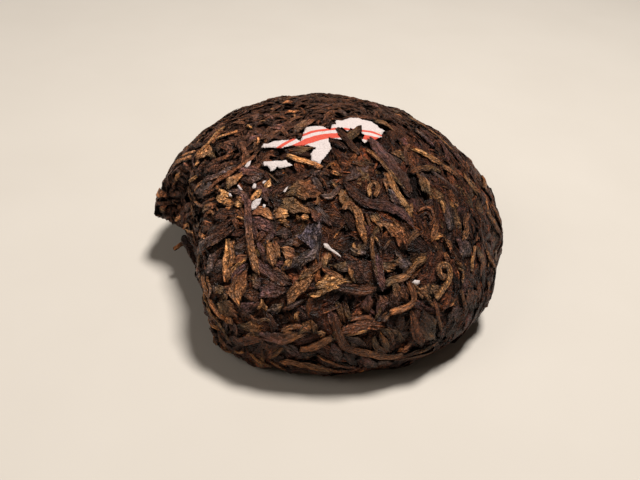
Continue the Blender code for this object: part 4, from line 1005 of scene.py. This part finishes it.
class Nodes:
    """A short way to write a material's nodes."""

    def __init__(self, name, gloss, roughness=None):
        self.material = bpy.data.materials.new(name)
        self.material.use_nodes = True
        self.tree = self.material.node_tree
        self.shader = self.tree.nodes["Principled BSDF"]
        self.shader.inputs["Specular IOR Level"].default_value = gloss
        if roughness is not None:
            self.shader.inputs["Roughness"].default_value = roughness

    def add(self, kind, out=0, **inputs):
        """Adds a node, gives its inputs values or links, and returns one of its outputs. An input goes by its
        name, or by i and its number, and what starts with set_ is one of the node's own settings."""
        node = self.tree.nodes.new(kind)
        for name, value in inputs.items():
            if name.startswith("set_"):
                setattr(node, name[4:], value)
        for name, value in inputs.items():
            if not name.startswith("set_"):
                numbered = name[0] == "i" and name[1:].isdigit()
                self.join(node.inputs[int(name[1:]) if numbered else name], value)
        return node.outputs[out]

    def join(self, socket, value):
        if isinstance(value, bpy.types.NodeSocket):
            self.tree.links.new(value, socket)
        else:
            socket.default_value = value

    def paint(self, colour, relief, strength, distance):
        """Links the shader's colour and a bump of so much strength and distance in metres."""
        self.join(self.shader.inputs["Base Color"], colour)
        bump = self.add("ShaderNodeBump", Strength=strength, Distance=distance, Height=relief)
        self.join(self.shader.inputs["Normal"], bump)
        return self.material

    def place(self):
        """Where a point lies on the object, in millimetres."""
        return self.scaled(self.add("ShaderNodeTexCoord", 3), (1000.0, 1000.0, 1000.0))

    def math(self, operation, a, b=0.0):
        return self.add("ShaderNodeMath", set_operation=operation, i0=a, i1=b)

    def product(self, first, *others):
        for other in others:
            first = self.math("MULTIPLY", first, other)
        return first

    def sum(self, first, *others):
        for other in others:
            first = self.math("ADD", first, other)
        return first

    def noise(self, vector, scale, detail=3.0, roughness=0.5):
        return self.add("ShaderNodeTexNoise", Vector=vector, Scale=scale, Detail=detail, Roughness=roughness)

    def ramp(self, value, low, high, start=0.0, end=1.0):
        return self.add("ShaderNodeMapRange", set_clamp=True, i0=value, i1=low, i2=high, i3=start, i4=end)

    def scaled(self, vector, factors):
        return self.add("ShaderNodeVectorMath", set_operation="MULTIPLY", i0=vector, i1=factors)

    def eased(self, value, strength):
        """A shade that is only partly applied."""
        return self.sum(self.product(self.math("SUBTRACT", value, 1.0), strength), 1.0)

    def mix(self, factor, a, b, blend="MIX"):
        node = self.tree.nodes.new("ShaderNodeMix")
        node.data_type, node.blend_type = "RGBA", blend
        for socket, value in ((node.inputs[0], factor), (node.inputs[6], a), (node.inputs[7], b)):
            self.join(socket, value)
        return node.outputs[2]


def leaf_cells(n, grain):
    """The swollen skin between a leaf's veins, as a share of the way in from them."""
    bent = n.add("ShaderNodeTexNoise", 1, Vector=grain, Scale=0.9, Detail=3.0)
    bent = n.add("ShaderNodeVectorMath", set_operation="ADD", i0=grain, i1=n.scaled(bent, (1.5, 0.9, 0.0)))
    cells = n.scaled(bent, (0.55, 1.3, 1.0))
    cells = n.add("ShaderNodeTexVoronoi", set_feature="DISTANCE_TO_EDGE", Vector=cells, Scale=1.0)
    return n.ramp(cells, 0.0, 0.16)


def leaf_colour(n, shade, place, specks):
    """A leaf's own colour times a shade that holds its texture and some painted shade, with warm and cold
    stains and golden specks.
    """
    grey = n.add("ShaderNodeCombineColor", i0=shade, i1=shade, i2=shade)
    colour = n.mix(1.0, n.add("ShaderNodeAttribute", set_attribute_name="tint"), grey, "MULTIPLY")
    stain = n.mix(n.ramp(n.noise(place, 1.1), 0.36, 0.64), (1.08, 0.97, 0.76, 1), (0.92, 1.03, 1.26, 1))
    colour = n.mix(1.0, colour, stain, "MULTIPLY")
    return n.mix(specks, colour, (0.19, 0.095, 0.040, 1))


def tea_material():
    """Dried leaf: creased and streaked along its fibres, each leaf as rough as it happens to be, and
    crumblier at the nest's sides, with a waxy gloss. Painted shade darkens its creases and vein grooves, and
    painted light and shade follow its crinkles."""
    n = Nodes("dried_leaf", 0.26)
    grain, place = n.add("ShaderNodeAttribute", 1, set_attribute_name="grain"), n.place()
    own = n.scaled(grain, (0.0, 0.0, 1.0))
    own = n.add("ShaderNodeTexWhiteNoise", set_noise_dimensions="3D", Vector=own)
    rough = n.ramp(own, 0.0, 1.0, 0.3, 1.3)
    aside = n.math("ABSOLUTE", n.add("ShaderNodeSeparateXYZ", Vector=place))
    grit = n.sum(n.product(rough, 0.75), n.ramp(aside, 12.0, 26.0, 0.0, 1.3))
    streaks = n.noise(n.scaled(grain, (0.45, 2.8, 1.0)), 1.0, 2.0, 0.5)
    fibres = n.noise(n.scaled(grain, (1.2, 5.0, 1.0)), 1.0, 1.0, 0.5)
    pores = n.noise(place, 2.4, 3.0, 0.55)
    patches = n.noise(place, 0.55, 3.0, 0.55)
    crinkle = n.noise(n.scaled(grain, (0.8, 1.6, 1.0)), 1.0, 2.0, 0.5)
    crease = n.ramp(n.math("ABSOLUTE", n.math("SUBTRACT", crinkle, 0.5)), 0.0, 0.08)
    swell = leaf_cells(n, grain)
    # The leaf's own streaks, fibres, pits and patches, with painted shade in its vein grooves and creases,
    # and painted light and shade on its crinkles
    shade = n.product(
        n.ramp(streaks, 0.32, 0.68, 0.6, 1.4),
        n.ramp(fibres, 0.3, 0.7, 0.75, 1.25),
        n.eased(n.ramp(pores, 0.34, 0.66, 0.55, 1.45), grit),
        n.ramp(patches, 0.35, 0.65, 0.83, 1.17),
        n.ramp(swell, 0.0, 1.0, 0.62, 1.08),
        n.ramp(crinkle, 0.32, 0.68, 0.7, 1.3),
        n.eased(n.ramp(crease, 0.0, 1.0, 0.5, 1.08), rough),
    )
    specks = n.product(n.ramp(pores, 0.64, 0.76), n.ramp(patches, 0.42, 0.62, 0.2, 1.0), 0.4)
    n.join(n.shader.inputs["Roughness"], n.ramp(n.sum(streaks, pores), 0.7, 1.3, 0.32, 0.58))
    wrinkles = n.sum(n.product(crinkle, 1.1), n.product(swell, 0.28), n.product(crease, 0.25))
    wrinkles = n.product(wrinkles, rough)
    relief = n.sum(n.product(fibres, 0.25), n.product(streaks, 0.9), wrinkles, n.product(pores, 0.6, grit))
    return n.paint(leaf_colour(n, shade, place, specks), relief, 1.0, 0.0010)


def core_material():
    """The dark, crumbly tea between the leaves."""
    n = Nodes("tea_core", 0.2, 0.85)
    crumbs = n.noise(n.place(), 1.6, 5.0, 0.65)
    colour = n.mix(n.ramp(crumbs, 0.4, 0.75), (0.018, 0.0046, 0.0018, 1), (0.040, 0.0125, 0.0048, 1))
    return n.paint(colour, crumbs, 0.8, 0.0006)


def rough_noise(point, layers):
    """Noise of several depths and sizes at a point, added up."""
    return sum(depth * noise.noise(Vector(point) / size) for depth, size in layers)


def make_core(mesh):
    """The tea behind the leaves: the nest's surface sunk a little, with rough relief of its own."""
    points = np.array([v.co for v in mesh.vertices])
    normals = np.array([v.normal for v in mesh.vertices])
    depth = CORE_DEPTH + np.array([rough_noise(point, CORE_RELIEF) for point in points])
    sunk = points - normals * depth[:, None]
    sunk[:, 2] = np.maximum(sunk[:, 2], LOWEST)
    core = raw_mesh("core", (sunk + CENTRING) * MM, [list(p.vertices) for p in mesh.polygons])
    core.data.shade_smooth()
    core.data.materials.append(core_material())
    return dress(core)


def inside(points, corners):
    """Which points lie over an outline in plan."""
    x, y = points[:, 0], points[:, 1]
    within = np.zeros(len(points), bool)
    for (x0, y0), (x1, y1) in zip(corners, corners[1:] + corners[:1]):
        if y0 != y1:
            within ^= ((y0 > y) != (y1 > y)) & (x < x0 + (x1 - x0) * (y - y0) / (y1 - y0))
    return within


def over_ticket(path, width):
    """The share of a leaf's middle and sides that lies over the ticket."""
    where, direction, normal = path
    side = 0.4 * width * np.cross(normal, direction)
    points = np.concatenate([where - side, where, where + side])
    within = np.zeros(len(points), bool)
    for corners in TICKET_OUTLINES.values():
        within |= inside(points, corners)
    return float((within & (points[:, 2] > CROWN_HEIGHT / 2)).mean())


def mixed(tint, share):
    """A colour with a share of the common one."""
    return np.array(tint) * (1 - share) + np.array(COMMON_TINT) * share


def tint_of(draw, mood, variety):
    """A random leaf colour from a mood, given as names and shares."""
    names, shares = zip(*mood)
    shares = np.array(shares, float)
    name = names[draw.choice(len(names), p=shares / shares.sum())]
    tint = np.array(TINTS[name]) * draw.uniform(*SHADE_SPREAD) * draw.uniform(*HUE_SPREAD, 3)
    return mixed(tint, 1 - variety)


def by_azimuth(table, point):
    """The values of a table by azimuth, read at a point."""
    azimuth = math.degrees(math.atan2(point[1], point[0])) % 360
    azimuths, *values = np.array(table).T
    read = [float(np.interp(azimuth, azimuths, value)) for value in values]
    return read if len(read) > 1 else read[0]


def foot_shade_at(point):
    """What a leaf's colour is multiplied by near the foot: painted shade, browner as a warm painted
    reflection from below.
    """
    return 1 - np.clip(1 + (FOOT_DARK - point[2]) / FOOT_FADE, 0, 1) * FOOT_PAINTED_SHADE


def tone_at(point):
    """What a scattered leaf's colour is multiplied by: redder at the right and the front, with painted shade
    at the foot.
    """
    return np.array((1.0, *by_azimuth(HUE, point))) * foot_shade_at(point)


def heading_of(draw, point):
    """A random heading: round the nest at its back, up it at the sides, and any way at the front."""
    heading, spread = by_azimuth(LIE, point)
    return math.radians(heading + draw.normal(0, spread)) + math.pi * draw.integers(2)


def random_path(draw, surface, layer, point, normal, coarseness):
    """The path and the width of one of a layer's leaves, from a point of the surface."""
    size = 1.0 if layer.kind in SMALL_KINDS else coarseness * min(1.2, draw.lognormal(0, 0.25))
    length = draw.uniform(*layer.lengths) * size
    width = draw.uniform(*layer.widths) * size
    pace = KINDS[layer.kind].pace
    turn = draw.normal(0, 0.35) * pace / length
    heading = draw.uniform(0, math.tau) if layer.kind == "crumb" else heading_of(draw, point)
    return surface.walk(point, normal, heading, length, turn, pace), width


def scatter(surface, taken, layer, pile):
    """Lays a layer's random leaves."""
    draw = np.random.default_rng(layer.seed)
    count = int(layer.per_cm2 * surface.area(layer.regions) / 100)
    for point, normal in surface.scatter(draw, count, layer.regions):
        coarseness = by_azimuth(COARSE, point)
        path, width = random_path(draw, surface, layer, point, normal, coarseness)
        share = taken.share(path[0], width)
        if over_ticket(path, width) > layer.ticket or (share > MOST_COVERED and layer.kind in SMALL_KINDS):
            continue
        tint = tint_of(draw, MOODS[layer.mood], min(1.0, 1.4 * coarseness - 0.4))
        # Painted light and shade by side of the nest, and painted shade at the foot
        tint = tint * by_azimuth(SIDE_PAINTED_LIGHT, point) * tone_at(point)
        tints = tint, tint * draw.uniform(*END_SPREAD)
        level, roll, top = draw.uniform(*layer.levels) - UNDER_SHOWING * share, layer.roll, PRESSED_TOP
        loose = draw.random() < by_azimuth(LOOSE, point)
        if loose and layer.levels[1] > LOOSE_LEVEL and share < LOOSE_COVERED:
            level, roll, top = level + LOOSE_RISE, roll * LOOSE_ROLL, LOOSE_TOP
        roll = draw.normal(0, roll)
        pile.lay(draw, path, width, layer.kind, tints, level, roll, top=top, relief=coarseness ** 0.7)


def straight_path(start, end, pace):
    """A path through the air."""
    start, end = np.array(start), np.array(end)
    along = (end - start) / np.linalg.norm(end - start)
    up = np.array((0, 0, 1)) - along * along[2]
    up = up / np.linalg.norm(up)
    count = max(4, round(np.linalg.norm(end - start) / pace))
    where = start + (end - start) * np.linspace(0, 1, count)[:, None]
    return where, np.tile(along, (count, 1)), np.tile(up, (count, 1))


def showing_leaves(surface, piles):
    """Lays the leaves that the photograph shows best, and returns where they lie."""
    draw = np.random.default_rng(SHOWING_SEED)
    spots = []
    for kind, width, start, end, level, pixels in SHOWING_LEAVES.values():
        path = surface.traced([surface.seen(pixel) for pixel in pixels], KINDS[kind].pace * 0.8)
        middle = path[0][len(path[0]) // 2]
        # Painted shade at the foot, and painted light and shade by side of the nest
        painted_light_and_shade = foot_shade_at(middle) * by_azimuth(SIDE_PAINTED_LIGHT, middle)
        tints = [np.minimum(MOST_TINT, mixed(TINTS[name], SHOWING_CALM) * painted_light_and_shade) for name in (start, end)]
        level = SHOWING_BASE + SHOWING_RISE * level
        piles[kind].lay(draw, path, width, kind, tints, level, sink=SHOWING_SINK, top=SHOWING_TOP)
        spots += [(spot, width / 2) for spot in path[0]]
    for start, end, width, kind, first, last in LOOSE_STEMS.values():
        path = straight_path(start, end, 0.8)
        piles[kind].lay(draw, path, width, kind, (TINTS[first], TINTS[last]), -0.1, sink=0.1)
    return Taken(spots)


class Taken:
    """Where the showing leaves lie, so that the others keep under them."""

    def __init__(self, spots):
        self.tree = KDTree(len(spots))
        self.halves = [half for _, half in spots]
        for i, (spot, _) in enumerate(spots):
            self.tree.insert(spot, i)
        self.tree.balance()

    def share(self, where, width):
        """The share of a leaf that lies over showing ones."""
        under = 0
        for spot in where:
            _, i, far = self.tree.find(spot)
            under += far < self.halves[i] + 0.33 * width
        return under / len(where)


def paper_material(lined):
    """Thin pinkish paper, creased, with two plain red lines printed across it."""
    n = Nodes("ticket_paper_lined" if lined else "ticket_paper", 0.3, 0.7)
    place = n.place()
    pulp = n.noise(place, 2.4, 5.0, 0.6)
    stain = n.noise(place, 0.35, 3.0, 0.6)
    colour = n.mix(n.ramp(pulp, 0.35, 0.7, 0.0, 0.5), (0.66, 0.57, 0.55, 1), (0.54, 0.45, 0.41, 1))
    colour = n.mix(n.ramp(stain, 0.55, 0.75, 0.0, 0.45), colour, (0.52, 0.40, 0.30, 1))
    if lined:
        offset = n.add("ShaderNodeAttribute", 2, set_attribute_name="across_lines")
        offset = n.sum(offset, n.ramp(pulp, 0.0, 1.0, -LINE_BLUR, LINE_BLUR))
        for low, high in LINES:
            band = n.product(
                n.ramp(offset, low - LINE_BLUR, low),
                n.ramp(offset, high, high + LINE_BLUR, 1.0, 0.0),
                n.ramp(pulp, 0.2, 0.4, 0.6, 0.95),
            )
            colour = n.mix(band, colour, (0.62, 0.055, 0.022, 1))
    return n.paint(colour, pulp, 0.8, 0.0006)


def torn_line(draw, corners):
    """An outline through the corners, as ragged as its size allows."""
    ragged = min(1.0, float(np.ptp(corners, axis=0).max()) / 8)
    line = []
    for start, end in zip(corners, corners[1:] + corners[:1]):
        count = max(1, round(math.dist(start, end) / TORN_STEP))
        line += [np.array(start) + (np.array(end) - np.array(start)) * i / count for i in range(count)]
    torn = []
    for i, point in enumerate(line):
        along = line[(i + 1) % len(line)] - line[i - 1]
        out = np.array((-along[1], along[0])) / np.linalg.norm(along)
        slow = noise.noise(Vector((point[0], point[1], 5.0)) / 1.3)
        torn.append(tuple(point + out * ragged * (0.22 * slow + draw.uniform(-0.10, 0.10))))
    return torn


def flat_scrap(draw, corners):
    """The points, triangles and count of border points of a torn scrap of paper, in plan."""
    edge = torn_line(draw, corners)
    low, high = np.min(edge, axis=0), np.max(edge, axis=0)
    grid = [
        (x + draw.uniform(-0.1, 0.1), y + draw.uniform(-0.1, 0.1))
        for x in np.arange(low[0], high[0], PAPER_GRID) for y in np.arange(low[1], high[1], PAPER_GRID)
    ]
    grid = np.array([g for g in grid if min(math.dist(g, e) for e in edge) > PAPER_CLEAR]).reshape(-1, 2)
    spots = edge + [tuple(g) for g, keep in zip(grid, inside(grid, edge)) if keep]
    loop = [(i, (i + 1) % len(edge)) for i in range(len(edge))]
    flat, _, triangles, *_ = delaunay_2d_cdt([Vector(s) for s in spots], loop, [], 1, 1e-6)
    return flat, triangles, len(edge)


def paper_faces(triangles, first, count):
    """The closed skin of a scrap, for top points numbered from the first and as many under them."""
    under = first + count
    faces, sides = [], set()
    for a, b, c in triangles:
        faces += [(first + a, first + b, first + c), (under + c, under + b, under + a)]
        sides |= {(a, b), (b, c), (c, a)}
    rim = [(p, q) for p, q in sorted(sides) if (q, p) not in sides]
    return faces + [(first + q, first + p, under + p, under + q) for p, q in rim]


def ticket_piece(surface, name, outlines, lift, lined=False):
    """Torn scraps of paper that lie on the nest, creased by the leaves under them."""
    draw = np.random.default_rng(PAPER_SEED)
    points, faces, offsets = [], [], []
    for corners in outlines:
        flat, triangles, border = flat_scrap(draw, corners)
        top, under = [], []
        for i, (x, y) in enumerate(flat):
            where, normal, _, _ = surface.tree.ray_cast(Vector((x, y, 60)), Vector((0, 0, -1)))
            crease = sum(d * noise.noise(Vector((x, y, level)) / size) for d, size, level in PAPER_CREASES)
            thick = PAPER_EDGE if i < border else PAPER_THICK
            top.append(np.array(where + normal * (lift + crease)))
            under.append(np.array(where + normal * (lift + crease - thick)))
        faces += paper_faces(triangles, len(points), len(flat))
        points += top + under
        offsets += [math.dist(spot, LINES_CENTRE) - LINES_RADIUS for spot in flat] * 2
    made = raw_mesh(name, (np.array(points) + CENTRING) * MM, faces)
    made.data.attributes.new("across_lines", "FLOAT", "POINT").data.foreach_set("value", np.array(offsets))
    made.data.shade_smooth()
    made.data.materials.append(paper_material(lined))
    return dress(made)


def light(name, place, size, power, colour):
    """A soft round light, placed in metres, that faces the nest."""
    data = bpy.data.lights.new(name, "AREA")
    data.shape, data.size, data.energy, data.color = "DISK", size, power, colour
    lamp = bpy.data.objects.new(name, data)
    lamp.location = place
    lamp.rotation_euler = (Vector((0, 0, 0.02)) - Vector(place)).to_track_quat("-Z", "Y").to_euler()
    bpy.context.scene.collection.objects.link(lamp)


def set_floor():
    corners = [(-1, -1, 0), (1, -1, 0), (1, 1, 0), (-1, 1, 0)]
    floor = raw_mesh("floor", [np.array(corner) * FLOOR_HALF for corner in corners], [(0, 1, 2, 3)])
    n = Nodes("floor", 0.1, 0.9)
    mottle = n.noise(n.add("ShaderNodeTexCoord", 3), 30.0)
    n.join(n.shader.inputs["Base Color"], n.mix(mottle, (0.54, 0.495, 0.44, 1), (0.58, 0.535, 0.48, 1)))
    floor.data.materials.append(n.material)


def set_lights():
    """A key light from above and behind, a weak fill from the left, and a faint warm glow from all round."""
    light("key", (0.08, 0.05, 0.56), 0.12, 4.5, (1.0, 0.97, 0.93))
    light("fill", (-0.40, -0.20, 0.45), 0.30, 0.7, (1.0, 0.94, 0.87))
    world = bpy.data.worlds.new("studio")
    world.use_nodes = True
    glow = world.node_tree.nodes["Background"]
    glow.inputs["Color"].default_value = (1.0, 0.87, 0.72, 1)
    glow.inputs["Strength"].default_value = 0.055
    bpy.context.scene.world = world
    bpy.context.scene.view_settings.view_transform = "Standard"


def set_camera():
    lens = bpy.data.cameras.new("camera")
    lens.sensor_width, lens.lens, lens.clip_start = CAMERA_SENSOR, CAMERA_LENS, 0.005
    camera = bpy.data.objects.new("camera", lens)
    tilt = Matrix.Rotation(math.radians(90 - CAMERA_DOWN), 4, "X")
    roll = Matrix.Rotation(math.radians(CAMERA_ROLL), 4, "Z")
    camera.matrix_world = Matrix.Translation(CAMERA_PLACE) @ tilt @ roll
    bpy.context.scene.collection.objects.link(camera)
    bpy.context.scene.camera = camera


def make_tea():
    """Replaces the pressed body with leaves over their core, and returns the surface that they lie on."""
    whole = whole_body()
    corners = [v.co for v in whole.data.vertices]
    whole_tree = BVHTree.FromPolygons(corners, [p.vertices for p in whole.data.polygons])
    mesh = broken_body(whole)
    surface = Surface(mesh, whole_tree)
    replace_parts(make_core(mesh), "pressed_tea")
    piles = {name: Pile(name) for name in PILES}
    taken = showing_leaves(surface, {kind: piles[name] for kind, name in SHOWING_PILES.items()})
    for layer in LAYERS:
        scatter(surface, taken, layer, piles[layer.pile])
    paint = tea_material()
    for pile in piles.values():
        pile.build(paint)
    return surface


def make_ticket(surface):
    """Replaces the ticket's remnants with thin paper, and adds the specks of it."""
    for name, corners in TICKET_OUTLINES.items():
        lift = SPECK_LIFT if name == "ticket_fleck" else TICKET_LIFT
        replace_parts(ticket_piece(surface, name + "_paper", [corners], lift, name == "ticket_main"), name)
    ticket_piece(surface, "ticket_specks", TICKET_SPECKS, SPECK_LIFT)


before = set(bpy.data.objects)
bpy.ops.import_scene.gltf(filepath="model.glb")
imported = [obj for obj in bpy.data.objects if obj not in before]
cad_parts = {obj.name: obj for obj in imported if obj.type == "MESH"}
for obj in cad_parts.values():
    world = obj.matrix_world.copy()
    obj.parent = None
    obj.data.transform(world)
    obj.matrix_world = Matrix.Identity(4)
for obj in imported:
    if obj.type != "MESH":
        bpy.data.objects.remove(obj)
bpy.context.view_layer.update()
make_ticket(make_tea())
set_floor()
set_lights()
set_camera()
